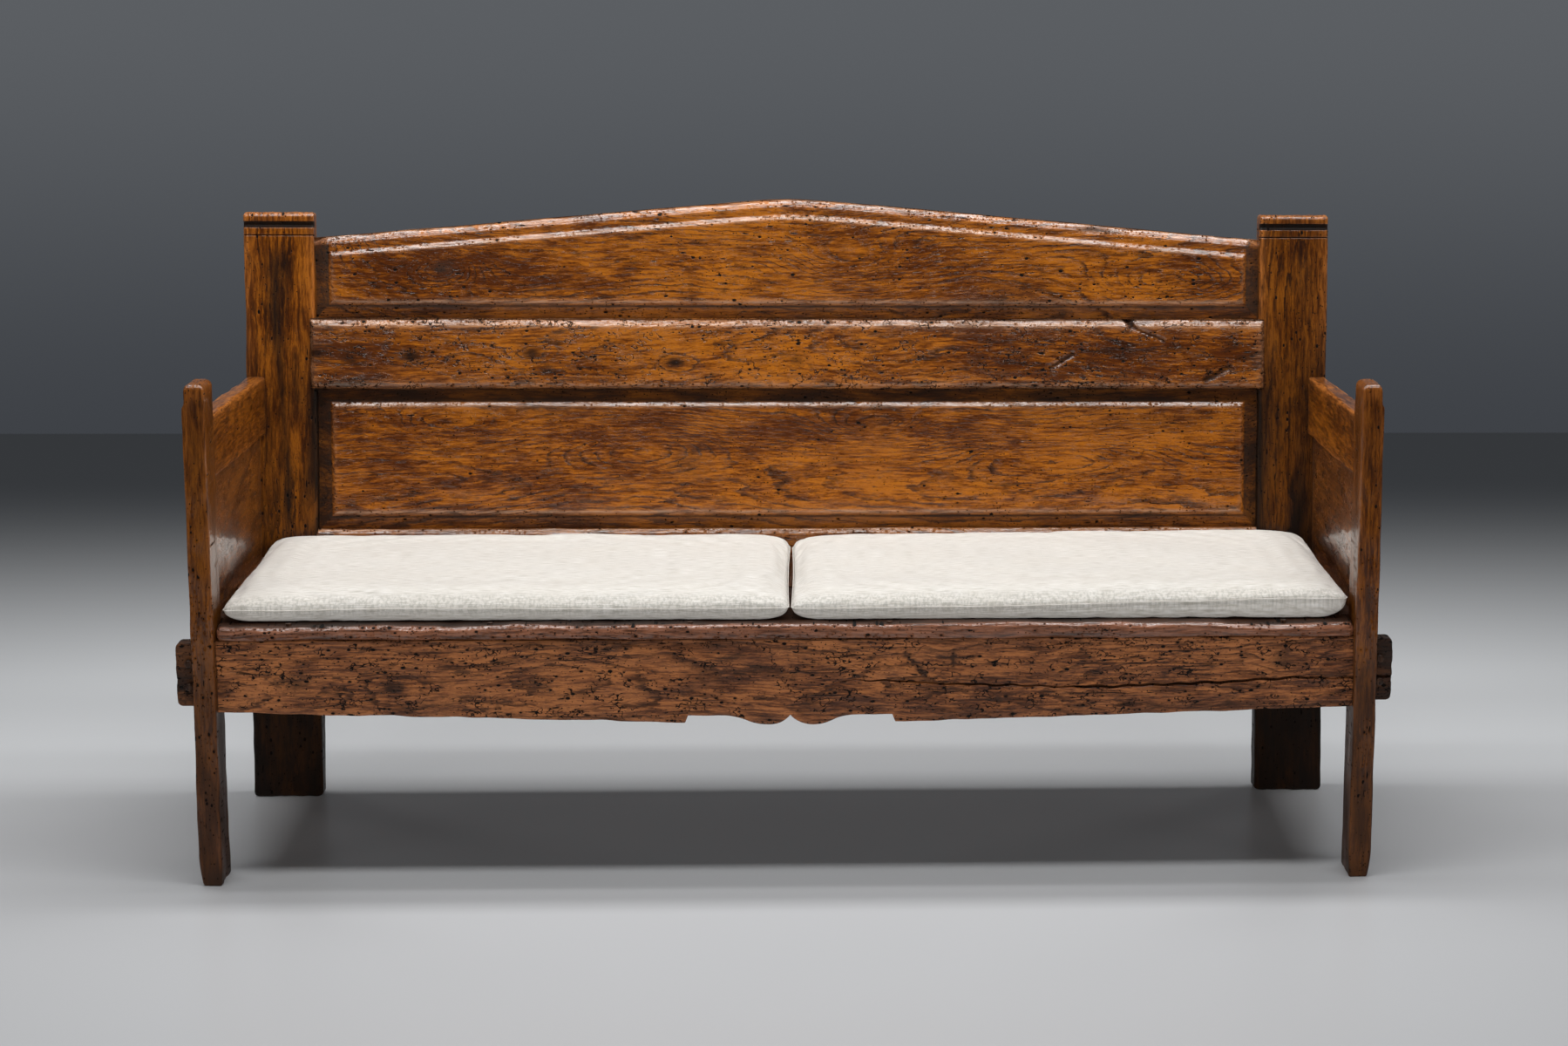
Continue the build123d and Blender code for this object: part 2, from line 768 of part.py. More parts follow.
# Pieces, each under its own name
pieces = {
    "right_front_leg": front_leg,
    "left_front_leg": other_side(front_leg),
    "right_rear_post": rear_post,
    "left_rear_post": other_side(rear_post),
    "crest_panel": lean * crest_panel,
    "middle_rail": lean * middle_rail,
    "lower_panel": lean * lower_panel,
    "bottom_rail": bottom_rail,
    "apron": apron,
    "apron_patch": apron_patch,
    "right_tenon_keys": Compound(children=tenon_keys),
    "left_tenon_keys": Compound(children=[other_side(key) for key in tenon_keys]),
    "right_arm_rail": arm_rail,
    "left_arm_rail": other_side(arm_rail),
    "right_side_panel": side_panel_board(),
    "left_side_panel": other_side(side_panel_board()),
    "right_side_rail": side_rail,
    "left_side_rail": other_side(side_rail),
    "seat_front_plank": seat_front_plank,
    "seat_rear_plank": seat_rear_plank,
    "right_seat_bearer": bearer,
    "left_seat_bearer": other_side(bearer),
    "back_pegs": Compound(children=[lean * peg for peg in draw_pegs]),
    "right_side_pegs": Compound(children=side_pegs),
    "left_side_pegs": Compound(children=[other_side(peg) for peg in side_pegs]),
    "seat_pegs": Compound(children=seat_pegs),
    "right_cushion": cushion,
    "left_cushion": other_side(cushion),
}
for name, piece in pieces.items():
    export_step(piece, f"parts/{name}.step")
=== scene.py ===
import math
import bpy
import numpy as np
from mathutils import Matrix, Vector


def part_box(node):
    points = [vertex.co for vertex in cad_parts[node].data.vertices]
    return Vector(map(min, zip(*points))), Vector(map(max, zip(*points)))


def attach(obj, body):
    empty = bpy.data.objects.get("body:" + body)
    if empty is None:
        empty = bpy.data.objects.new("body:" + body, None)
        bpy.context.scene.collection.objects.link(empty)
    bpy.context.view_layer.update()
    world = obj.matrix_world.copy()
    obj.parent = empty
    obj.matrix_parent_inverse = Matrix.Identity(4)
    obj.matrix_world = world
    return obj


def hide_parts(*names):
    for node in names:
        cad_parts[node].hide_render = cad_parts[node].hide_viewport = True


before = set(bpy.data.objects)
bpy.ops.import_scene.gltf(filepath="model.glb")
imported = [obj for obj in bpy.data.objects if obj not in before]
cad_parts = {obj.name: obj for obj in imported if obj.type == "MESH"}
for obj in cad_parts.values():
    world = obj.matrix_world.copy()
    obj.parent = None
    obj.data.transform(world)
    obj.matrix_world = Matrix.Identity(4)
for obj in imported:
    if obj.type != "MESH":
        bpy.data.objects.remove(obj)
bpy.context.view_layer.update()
scene = bpy.context.scene
print("settle: frame loaded,", len(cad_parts), "solids")

# sizes and places shared by several boards, in metres
rake = math.radians(5.25)  # lean of the back
lean = math.tan(rake)
legThick = 0.036
legDeep = 0.079
postWide = 0.121
railBack = 0.0413  # back of the middle and bottom rails, behind the post fronts
halfSpan = 0.950
legInside = halfSpan - legThick
postInside = halfSpan - postWide
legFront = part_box("right_front_leg")[0].y
legBack = legFront + legDeep
backFoot = legFront + 0.530  # front of the rear posts at the floor
seatUnder = 0.400
seatTop = 0.426


def leaning(x, n, h):
    # x, depth behind the post fronts and height along the lean -> points of the leaning back
    y = backFoot + h * math.sin(rake) + n * math.cos(rake)
    return np.stack([x, y, h * math.cos(rake) - n * math.sin(rake)], 1)


def postFace(z):
    # front of the posts: its place at the floor + height * tangent of the lean
    return backFoot + z * lean


def smooth(value, low, high):
    # 0 below low, 1 above high, an S-curve between
    t = np.clip((value - low) / (high - low), 0, 1)
    return t * t * (3 - 2 * t)


def softRamp(t, crisp=14.0):
    # the straight ramp from 0 at t=0 to 1 at t=1, with both corners eased as a worn arris is
    return (np.logaddexp(0, crisp * t) - np.logaddexp(0, crisp * (t - 1))) / crisp


def hump(u, v, centre, size):
    # bell over the plane, size is its half width each way
    return np.exp(-((u - centre[0]) / size[0]) ** 2 - ((v - centre[1]) / size[1]) ** 2)


def bells(u, v, spots):
    # one row of heights per spot, each given as its centre, half widths and strength
    return np.array([share * hump(u, v, centre, size) for centre, size, share in spots])


def knotty(u, v, knots, size):
    # bells of one size at every knot, each as strong as its knot
    return sum(share * hump(u, v, spot, size) for spot, share in knots)


def stroke(u, v, start, end, width):
    # bell along a straight scratch from start to end
    du, dv = end[0] - start[0], end[1] - start[1]
    t = np.clip(((u - start[0]) * du + (v - start[1]) * dv) / (du * du + dv * dv), 0, 1)
    return np.exp(-((u - start[0] - t * du) ** 2 + (v - start[1] - t * dv) ** 2) / width**2)


def scored(u, v, cuts):
    # depth of several scratches, each given as its start, end, width and depth
    return sum(deep * stroke(u, v, start, end, width) for start, end, width, deep in cuts)


def ripples(points, size, seed, count=14):
    # sum of plane waves about size metres long, in seeded random directions, mostly between -1 and 1
    rng = np.random.default_rng(seed)
    ways = rng.normal(size=(3, count))
    ways *= rng.uniform(0.6, 1.7, count) / np.linalg.norm(ways, axis=0) * (2 * np.pi / size)
    return np.sin(points @ ways + rng.uniform(0, 6.283, count)).sum(1) / math.sqrt(count)


def wavy(flat, deep, size, seed):
    # line along the bench that wanders by about deep, in waves about size long
    return deep * ripples(flat * (1, 0, 0), size, seed)


def patchy(flat, middle, swing, stretch, size, seed):
    # middle share of dirt, swinging in patches drawn out along an upright board
    return middle + swing * ripples(flat * (1, 1, stretch), size, seed)


edgeShares = np.array([0, 0.1, 0.22, 0.38, 0.58, 0.8, 1])  # how rows close up towards an arris


def ticks(low, high, step, edge, extra=()):
    # even steps from low to high, close ones within edge of both ends, and any extra places
    near = edge * edgeShares
    count = max(2, int(round((high - low - 2 * edge) / step)) + 1)
    inner = np.linspace(low + edge, high - edge, count)
    places = np.concatenate([low + near, high - near, inner, np.asarray(extra, float)])
    return np.unique(np.round(places, 5))


def quads(ids):
    # grid of point numbers -> its four-sided faces
    return np.stack([ids[:-1, :-1], ids[1:, :-1], ids[1:, 1:], ids[:-1, 1:]], -1).reshape(-1, 4)


def boxShell(xs, ys, zs):
    # six faces of a box as grids that share their borders, each face turned outwards
    onSkin = np.ones((len(xs), len(ys), len(zs)), bool)
    onSkin[1:-1, 1:-1, 1:-1] = False
    ids = np.cumsum(onSkin.ravel()).reshape(onSkin.shape) - 1
    i, j, k = np.nonzero(onSkin)
    sheets = [ids[-1], ids[0].T, ids[:, -1].T, ids[:, 0], ids[:, :, -1], ids[:, :, 0].T]
    return np.stack([xs[i], ys[j], zs[k]], 1), np.concatenate([quads(sheet) for sheet in sheets])


# what age does to every board: swing of the rolled edges, ripples of the faces, width of the rubbed edges,
# which are also painted lighter as a sheen
age = {"stretch": 0.3, "edgeSwing": 0.25, "edgeWave": 0.035, "leastRoll": 0.0004, "mostRoll": 0.45,
       "longWave": 0.06, "shortWave": 0.017, "shortShare": 0.5, "rubbed": 0.008}


def wornBoard(xs, ys, zs, radius, sway, seed, along):
    # box whose edges are rolled off by a radius that rises and falls, and whose faces ripple by sway
    # each point = nearest point of the box shrunk by the radius + outward direction * (radius + ripple)
    points, faces = boxShell(xs, ys, zs)
    low, high = points.min(0), points.max(0)
    grained = points * np.where(np.arange(3) == along, age["stretch"], 1.0)
    roll = radius * (1 + age["edgeSwing"] * ripples(grained, age["edgeWave"], seed))
    roll = np.clip(roll, age["leastRoll"], age["mostRoll"] * (high - low).min())[:, None]
    inner = np.clip(points, low + roll, high - roll)
    out = points - inner
    out /= np.linalg.norm(out, axis=1, keepdims=True)
    short = age["shortShare"] * ripples(grained, age["shortWave"], seed + 2)
    lift = sway * (ripples(grained, age["longWave"], seed + 1) + short)
    gap = np.sort(np.minimum(points - low, high - points), axis=1)[:, 1]
    # every edge is marked for a lighter colour: rubbed wear, and a painted sheen along it
    marks = {"wear": np.exp(-gap / age["rubbed"]), "grime": np.zeros(len(gap)), "figure": np.zeros(len(gap))}
    return points, inner + out * (roll + lift[:, None]), faces, marks


def cutBoard(size, places, seed, along, extras=((), (), ())):
    # worn board that fills three ranges; spacing holds the step and the arris each way
    rows = [ticks(*place, *spacing, extra) for place, spacing, extra in zip(places, size["spacing"], extras)]
    return wornBoard(*rows, size["radius"], size["sway"], seed, along)


def newMesh(name, points, faces, finish):
    # smooth mesh from whole arrays, with one finish
    mesh = bpy.data.meshes.new(name)
    mesh.from_pydata(points.tolist(), [], faces.tolist())
    mesh.shade_smooth()
    mesh.materials.append(finish)
    return mesh


def newObject(name, data):
    # object that shows the data in the scene
    made = bpy.data.objects.new(name, data)
    scene.collection.objects.link(made)
    return made


def mark(mesh, key, values):
    # one number per point, which the finishes read by its key
    mesh.attributes.new(key, "FLOAT", "POINT").data.foreach_set("value", values.astype(np.float32))


def addPiece(name, points, faces, marks, finish, node):
    # mesh with its marks, riding on the frame in place of one solid
    mesh = newMesh(name, points, faces, finish)
    for key, values in marks.items():
        mark(mesh, key, values)
    piece = newObject(name, mesh)
    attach(piece, "frame")
    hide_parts(node)
    print("settle:", name, len(faces), "faces")


# shader helpers
def put(tree, kind, inputs=None, **settings):
    # one node, its inputs linked to sockets or set to plain values
    made = tree.nodes.new("ShaderNode" + kind)
    for key, value in settings.items():
        setattr(made, key, value)
    for key, value in (inputs or {}).items():
        if isinstance(value, bpy.types.NodeSocket):
            tree.links.new(value, made.inputs[key])
        else:
            made.inputs[key].default_value = value
    return made


def calc(kind, *values):
    # one step of arithmetic, in the graph of its first value
    return put(values[0].id_data, "Math", dict(enumerate(values)), operation=kind).outputs[0]


def vector(kind, *values):
    # one step of arithmetic on vectors, in the graph of its first value
    made = put(values[0].id_data, "VectorMath", dict(enumerate(values)), operation=kind)
    return made.outputs["Value" if kind in ("LENGTH", "DISTANCE") else "Vector"]


def times(first, second):
    return calc("MULTIPLY", first, second)


def plus(first, second):
    return calc("ADD", first, second)


def scaleAdd(value, factor, added):
    # value * factor + added
    return calc("MULTIPLY_ADD", value, factor, added)


def larger(first, second):
    return calc("MAXIMUM", first, second)


def below(value, limit):
    # 1 where the value is under the limit, 0 elsewhere
    return calc("LESS_THAN", value, limit)


def parts(socket):
    # the three numbers of a vector or a colour
    return put(socket.id_data, "SeparateXYZ", {0: socket}).outputs


def noise(place, stretch, detail=3.0, rough=0.55, part="Fac"):
    # noise over a place that is stretched first
    moved = vector("MULTIPLY", place, stretch)
    inputs = {"Vector": moved, "Scale": 1.0, "Detail": detail, "Roughness": rough}
    return put(place.id_data, "TexNoise", inputs).outputs[part]


def shift(place, stretch, detail, rough):
    # noise as a move each way, up to half a unit
    return vector("SUBTRACT", noise(place, stretch, detail, rough, "Color"), (0.5, 0.5, 0.5))


def levelLine(place, stretch, detail, wide, thin):
    # thin wandering line, where a noise passes its middle value
    off = calc("ABSOLUTE", calc("SUBTRACT", noise(place, stretch, detail, 0.5), 0.5))
    return between(off, wide, thin)


def scattered(place, stretch):
    # distance to the nearest of many scattered spots, and three random numbers that belong to that spot
    inputs = {"Vector": vector("MULTIPLY", place, stretch), "Scale": 1.0}
    spots = put(place.id_data, "TexVoronoi", inputs).outputs
    return spots["Distance"], parts(spots["Color"])


def between(value, low, high, lowest=0.0, highest=1.0, kind="SMOOTHSTEP"):
    # lowest up to low, highest from high on, an S-curve or a straight line between
    inputs = {"Value": value, "From Min": low, "From Max": high, "To Min": lowest, "To Max": highest}
    return put(value.id_data, "MapRange", inputs, interpolation_type=kind).outputs[0]


def mixed(share, first, second):
    # first colour where the share is 0, second where it is 1
    return put(share.id_data, "Mix", {0: share, 6: first, 7: second}, data_type="RGBA").outputs[2]


def colour(red, green, blue):
    # 0-255 screen colour -> linear
    v = np.array([red, green, blue]) / 255
    return (*np.where(v < 0.04045, v / 12.92, ((v + 0.055) / 1.055) ** 2.4).tolist(), 1.0)


def dimmed(shade, depth):
    # each part of the colour * depth
    return (*(depth * v for v in shade[:3]), 1.0)


def ramp(value, stops):
    # colours along a value, straight between the stops
    made = put(value.id_data, "ValToRGB", {"Fac": value})
    while len(made.color_ramp.elements) < len(stops):
        made.color_ramp.elements.new(0.5)
    for element, (place, shade) in zip(made.color_ramp.elements, stops):
        element.position, element.color = place, shade
    return made.outputs["Color"]


def newFinish(name):
    # new material with an empty graph
    material = bpy.data.materials.new(name)
    material.use_nodes = True
    material.node_tree.nodes.clear()
    return material, material.node_tree


def coat(tree, inputs):
    # one Principled surface, which is what the graph gives out
    shader = put(tree, "BsdfPrincipled", inputs)
    put(tree, "OutputMaterial", {"Surface": shader.outputs[0]}).is_active_output = True


waxedOak = {
    "dark": colour(80, 36, 3),
    "middle": colour(130, 69, 8),
    "light": colour(178, 103, 20),
    "tones": (0.440, 0.492, 0.548),  # where dark, middle and light stand
    "late": colour(42, 18, 3),  # latewood lines
    "patch": colour(40, 22, 10),
    "hole": colour(10, 6, 4),
    "soot": colour(34, 23, 17),  # old dirt in the corners, and painted shade in recesses and under other parts
    "rub": colour(186, 114, 56),  # rubbed edges, also painted lighter as a highlight
    "order": "xzy",  # axes along the grain, across the face and through the board
    "lean": 0.0,
    "depth": 1.0,  # below 1, a darker board
    "offset": 0.0,  # along the grain, so that no two boards match
    "heart": (0.02, 0.11),  # middle of the tree, across and through
    "ring": 0.0066,
    "bend": (0.10, 0.13),
    "waver": 0.011,
    "lines": 0.8,
    "patches": 0.35,
    "holes": 0.50,
    "specks": 0.40,
    "edgePits": 1.2,  # how much closer the holes stand on edges and where dirt and painted shade lie
    "channels": 0.35,
    "tracks": 0.0,
    "checks": 0.0,
    "rough": (0.30, 0.46),
    "coat": 1.0,
    "shine": 0.2,
    "relief": 0.0010,
    "cover": 0.72,  # least share of dirt and painted shade that shows
}

# repeats per metre along the grain, across the face and through the board
grain = {
    "slow": (1.1, 3.2, 3.2),
    "quick": (11.0, 52.0, 52.0),
    "fade": (9.0, 42.0, 42.0),
    "streak": (20.0, 250.0, 250.0),
    "fibre": (52.0, 860.0, 860.0),
    "cloud": (8.5, 26.0, 26.0),
    "broad": (2.4, 8.0, 8.0),
    "blot": (20.0, 58.0, 58.0),
    "crowd": (5.0, 13.0, 13.0),
    "bores": (85.0, 135.0, 16.0),
    "trails": (26.0, 170.0, 40.0),
    "pricks": (165.0, 240.0, 16.0),
    "galleries": (90.0, 130.0, 20.0),
    "eaten": (30.0, 52.0, 12.0),
    "cracks": (2.2, 34.0, 34.0),
}


def boardPlace(tree, look):
    # Object coordinates turned so that the grain comes first, with the lean of the back taken out
    axes = parts(put(tree, "TexCoord").outputs["Object"])
    picks = {"x": axes[0], "y": axes[1], "z": axes[2]}
    if look["lean"]:
        picks["y"] = scaleAdd(axes[2], -look["lean"], axes[1])
    turned = {number: picks[letter] for number, letter in enumerate(look["order"])}
    place = put(tree, "CombineXYZ", turned).outputs[0]
    return vector("ADD", place, (look["offset"], 0.0, 0.0))


def growthRings(look, place, figure):
    # distance from the heart of the tree, bent by noise, cut into rings by its fraction
    slow = vector("MULTIPLY", shift(place, grain["slow"], 2.5, 0.5), (0.0, *look["bend"]))
    waver = (0.0, look["waver"], look["waver"])
    quick = vector("MULTIPLY", shift(place, grain["quick"], 4.0, 0.66), waver)
    bent = vector("ADD", vector("ADD", place, slow), quick)
    flat = vector("MULTIPLY", bent, (0.0, 1.0, 1.0))
    radius = plus(vector("DISTANCE", flat, (0.0, *look["heart"])), figure)
    turn = calc("FRACT", calc("DIVIDE", radius, look["ring"]))
    line = times(between(turn, 0.62, 0.90), between(turn, 1.0, 0.94))
    fade = between(noise(place, grain["fade"], 4.0, 0.62), 0.40, 0.58, 0.08, 1.0)
    return bent, turn, times(line, fade)


def wormHoles(look, place, bent, edges):
    # bores and pricks run a little way through the board and channels run with the grain
    # each spot has a random number, and is a hole where that is below the share for its place
    crowd = noise(place, grain["crowd"], 2.0)
    away, chance = scattered(place, grain["bores"])
    size = scaleAdd(calc("POWER", chance[1], 3.0), 0.26, 0.05)
    toRim = calc("SUBTRACT", away, size)
    share = times(between(crowd, 0.38, 0.66, 0.15, 1.0), look["holes"])
    bored = below(chance[0], times(share, edges))
    hole = times(between(toRim, 0.06, -0.02), bored)
    lip = times(between(toRim, 0.16, 0.0), bored)
    nearHole = times(between(toRim, 0.36, 0.16), bored)

    away, chance = scattered(bent, grain["trails"])
    share = times(between(crowd, 0.42, 0.64), look["channels"])
    gnawed = below(chance[0], share)
    channel = times(between(away, 0.22, 0.1), gnawed)
    hole = larger(hole, channel)

    away, chance = scattered(place, grain["pricks"])
    share = times(between(crowd, 0.36, 0.62, 0.2, 1.0), look["specks"])
    pierced = below(chance[0], times(share, edges))
    toPrick = scaleAdd(chance[1], -0.16, away)
    prick = times(between(toPrick, 0.14, 0.04), pierced)
    hole = larger(hole, prick)
    nearPrick = times(between(toPrick, 0.40, 0.24), pierced)
    nearHole = larger(nearHole, nearPrick)

    if look["tracks"]:
        # grubs' tracks lie open in scattered places
        eaten = between(noise(place, grain["eaten"], 2.0), 0.54, 0.60)
        gallery = levelLine(place, grain["galleries"], 1.0, 0.042, 0.018)
        gallery = times(times(gallery, eaten), look["tracks"])
        hole = larger(hole, gallery)
    if look["checks"]:
        crack = levelLine(place, grain["cracks"], 2.0, 0.012, 0.003)
        crack = times(crack, between(crowd, 0.5, 0.6))
        hole = larger(hole, times(crack, look["checks"]))
    return hole, lip, nearHole


def oakFinish(name, **changes):
    # from the wood up: tone, rings, pores, stains, rubbed edges with a painted sheen, dirt with painted
    # shade, and holes, under a clear wax coat
    look = {**waxedOak, **changes}
    material, tree = newFinish(name)
    marks = ("wear", "grime", "figure")
    wear, grime, figure = (put(tree, "Attribute", attribute_name=key).outputs["Fac"] for key in marks)
    place = boardPlace(tree, look)
    bent, turn, ringLine = growthRings(look, place, figure)

    # fine streaks, dashes of open pores, and clouds of tone
    streak = noise(bent, grain["streak"], 4.0, 0.62)
    fibre = noise(bent, grain["fibre"], 2.5, 0.6)
    cloud = noise(place, grain["cloud"], 5.0, 0.62)
    broad = noise(place, grain["broad"], 3.0, 0.5)
    tone = times(streak, 0.34)
    for layer in (cloud, broad, fibre):
        tone = scaleAdd(layer, 0.22, tone)
    stops = zip(look["tones"], ("dark", "middle", "light"))
    shade = ramp(tone, [(at, dimmed(look[key], look["depth"])) for at, key in stops])
    shade = mixed(times(ringLine, look["lines"]), shade, look["late"])
    ringShare = between(turn, 0.15, 0.6, 0.15, 0.6)
    pore = times(between(fibre, 0.55, 0.62), ringShare)
    shade = mixed(pore, shade, look["late"])
    blot = between(noise(place, grain["blot"], 7.0, 0.70), 0.555, 0.655)
    shade = mixed(times(blot, look["patches"]), shade, look["patch"])

    # edges rubbed bright and painted lighter as a sheen, dirt and painted shade in corners and recesses,
    # holes
    edges = scaleAdd(larger(wear, grime), look["edgePits"], 1.0)
    hole, lip, nearHole = wormHoles(look, place, bent, edges)
    # edges painted lighter: rubbed wear, and a painted highlight where the lamps would glint
    worn = times(wear, between(streak, 0.35, 0.65, 0.15, 0.75))
    shade = mixed(worn, shade, look["rub"])
    # darker where dirt lies and where shade is painted in: recesses, under the rail, and behind or under the
    # cushions
    dirt = times(grime, between(cloud, 0.3, 0.7, 1.0, look["cover"]))
    shade = mixed(dirt, shade, look["soot"])
    shade = mixed(hole, shade, look["hole"])

    # the wax is broken up by the grain and missing from dirt, painted shade and holes
    gloss = scaleAdd(cloud, 0.5, times(fibre, 0.5))
    rough = between(gloss, 0.35, 0.65, *look["rough"], "LINEAR")
    rough = scaleAdd(hole, 0.4, scaleAdd(dirt, 0.14, rough))
    height = times(streak, 0.30)
    for layer, rise in ((ringLine, -0.12), (pore, -0.22), (larger(hole, lip), -1.2)):
        height = scaleAdd(layer, rise, height)
    bump = put(tree, "Bump", {"Strength": 0.9, "Distance": look["relief"], "Height": height}).outputs[0]
    bare = larger(larger(hole, nearHole), times(dirt, 0.95))
    wax = times(between(bare, 0.0, 0.8, 1.0, 0.0), look["coat"])
    coat(tree, {"Base Color": shade, "Roughness": rough, "Normal": bump, "Specular IOR Level": look["shine"],
                "Coat Weight": wax, "Coat Normal": bump, "Coat Roughness": 0.08, "Coat IOR": 1.65})
    return material


# front legs: planks on edge, worn at the foot, rounded to a nub above the arm
legs = {"height": 0.816, "radius": 0.0045, "sway": 0.0007,
        "spacing": ((0.006, 0.008), (0.006, 0.008), (0.006, 0.014)),
        "nub": 0.036, "nubInset": 0.0035, "nubRound": 0.012, "dome": 0.9,
        "footHigh": 0.048, "footWear": 0.006, "footDirt": 0.05, "dirt": (0.48, 0.24)}


def frontLeg(name, side, seed, finish, node):
    # worn board drawn in to its nub by a step, closed above by a quarter circle, and thinned at the foot
    places = ((legInside, halfSpan), (legFront, legBack), (0.0, legs["height"]))
    flat, points, faces, marks = cutBoard(legs, places, seed, along=2)
    x, y, z = points.T
    nubLow = legs["height"] - legs["nub"]
    inset = legs["nubInset"] * smooth(z, nubLow - 0.002, nubLow + 0.006)
    foot = legs["footWear"] * np.clip(1 - z / legs["footHigh"], 0, 1) ** 1.3
    x = x - (x - legInside) / legThick * (inset + foot)
    y = y - (y - legFront) / legDeep * inset
    q = np.clip((z - legs["height"] + legs["nubRound"]) / legs["nubRound"], 0, 1)
    dome = legs["dome"] * legs["nubRound"] * (1 - np.sqrt(1 - q * q))
    midX, midY = (legInside + halfSpan) / 2, (legFront + legBack) / 2
    x = midX + (x - midX) * (1 - 2 * dome / legThick)
    y = midY + (y - midY) * (1 - 2 * dome / legDeep)
    marks["wear"] = np.maximum(marks["wear"], smooth(z, nubLow, nubLow + 0.02))
    grime = 0.9 * smooth(z, *legs["dirt"]) * patchy(flat, 0.75, 0.2, 0.3, 0.05, seed + 5).clip(0, 1)
    marks["grime"] = np.minimum(1, grime + 0.3 * smooth(z, legs["footDirt"], 0.0))
    points = np.stack([side * x, y, np.maximum(z, 0)], 1)
    addPiece(name, points, faces[:, ::side], marks, finish, node)


# rear posts: wide leaning boards, foot cut level, cove and quirk across the front below the cap
posts = {"thick": 0.042, "length": 1.030, "radius": 0.0048, "sway": 0.0006,
         "spacing": ((0.006, 0.009), (0.007, 0.009), (0.008, 0.010)), "capRows": (0.987, 1.022, 0.0007),
         "cove": (1.009, 0.0061, 0.0011),  # height, radius and how far its centre stands out
         "quirk": (0.9905, 0.0016, 0.0028),  # height, half width and depth
         "capEase": 0.006, "cutFace": (0.013, 0.008), "levelled": 0.1, "footRound": 0.009,
         "streak": {"swing": 0.006, "turns": 9, "narrow": 0.010, "wider": 0.012, "flare": (0.72, 0.95)},
         "face": (0.010, 0.004), "dirt": (0.60, 0.36), "dim": (0.88, 0.66), "corner": 0.008,
         "cornerDirt": (0.84, 0.80)}


def darkStreak(x, h, streakAt):
    # bell across the post about a line that swings, wider towards the top and gone under the cap
    streak = posts["streak"]
    width = streak["narrow"] + streak["wider"] * smooth(h, *streak["flare"])
    line = streakAt + streak["swing"] * np.sin(h * streak["turns"])
    return np.exp(-(((x - line) / width) ** 2)) * smooth(h, 0.99, 0.94)


def rearPost(name, side, seed, finish, node, streakAt, streakShare, gloom):
    # worn board: the cove is part of a circle, the quirk a V, and the foot is sheared level and rounded
    places = ((postInside, halfSpan), (0.0, posts["thick"]), (0.0, posts["length"]))
    extras = ((), (), np.arange(*posts["capRows"]))
    flat, points, faces, marks = cutBoard(posts, places, seed, along=2, extras=extras)
    x, n, h = points.T
    coveAt, coveRadius, coveOut = posts["cove"]
    cove = np.sqrt(np.clip(coveRadius**2 - (h - coveAt) ** 2, 0, None)) - coveOut
    quirkAt, quirkHalf, quirkDeep = posts["quirk"]
    quirk = quirkDeep * np.clip(1 - np.abs(h - quirkAt) / quirkHalf, 0, 1)
    cut = np.maximum(np.maximum(cove, 0), quirk)
    eased = posts["capEase"] * (1 - softRamp((posts["length"] - h) / posts["capEase"], 8))
    n = n + eased * smooth(n, *posts["cutFace"])
    n = n + cut * smooth(n, *posts["cutFace"])
    h = h + n * lean * np.clip(1 - h / posts["levelled"], 0, 1)
    foot = posts["footRound"] * (1 - np.sqrt(1 - np.clip(1 - h / posts["footRound"], 0, 1) ** 2))
    middle = (postInside + halfSpan) / 2
    x = middle + (x - middle) * (1 - foot / (postWide / 2))
    onFront = smooth(flat[:, 1], *posts["face"])
    streak = streakShare * darkStreak(x, h, streakAt) * patchy(flat, 0.9, 0.3, 0.1, 0.03, seed + 7)
    dim = gloom * smooth(h, *posts["dim"]) * patchy(flat, 0.8, 0.25, 0.2, 0.05, seed + 9)
    inCut = smooth(cut, 0.0005, 0.0025) * onFront
    # darker in the cove and quirk, along the streak, and dimmer lower down; painted shade near the foot,
    # behind the cushions and side panels
    grime = np.max([inCut, streak, smooth(h, *posts["dirt"]), dim], axis=0)
    # painted shade down the inner edge, where the post meets the panel
    corner = 0.7 * np.exp(-(x - postInside) / posts["corner"]) * smooth(h, *posts["cornerDirt"])
    marks["grime"] = np.clip(grime + corner, 0, 1)
    marks["wear"] *= 1 - 0.9 * marks["grime"]
    points = leaning(side * x, n, h)
    points[:, 2] = np.maximum(points[:, 2], 0)
    addPiece(name, points, faces[:, ::side], marks, finish, node)


# raised and fielded panels of the back; stains and figure are centre, half widths and strength
fielded = {"bevelFoot": 0.020, "margin": 0.012, "field": 0.007, "back": 0.030, "bevel": 0.020, "quirk": 0.002,
           "step": 0.007, "sight": 0.8285, "reach": 0.836, "lap": 0.006, "rowStep": 0.0018, "rowsDeep": 0.036,
           "dirtLine": (0.021, 0.0022), "arris": (0.0065, 0.004), "sideWear": 0.3,
           "level": 1e-6}  # distances closer than this count as equal
crest = {"low": 0.8465, "side": 0.985, "apex": 1.058, "easing": 0.0016, "strip": 0.026, "radius": 0.006,
         "sway": 0.0003, "spacing": ((0.009, 0.006), (0.006, 0.006), (0.006, 0.008)),
         "slope": 0.0095, "rollHigh": 0.0125, "rollDeep": 0.0105, "rollRows": 0.045,
         "keepLow": 0.04, "keepHigh": 0.05, "sideSoot": 0.92, "lowSoot": 0.5,
         "chips": (((0.530, 1.001), (0.03, 0.006), 0.003), ((0.684, 0.992), (0.012, 0.004), 0.0015)),
         "stains": (((-0.608, 0.933), (0.02, 0.012), 0.8), ((-0.446, 0.895), (0.01, 0.007), 0.7),
                    ((0.530, 1.003), (0.03, 0.006), 0.9), ((0.40, 0.885), (0.06, 0.02), 0.35)),
         "figure": (((0.107, 0.945), (0.12, 0.05), 0.055), ((0.681, 0.917), (0.12, 0.035), 0.05),
                    ((-0.608, 0.933), (0.06, 0.03), -0.05)),
         "fan": ((-0.83, 0.985), 0.22, 0.11)}  # centre, reach and strength of the curved rings at the left
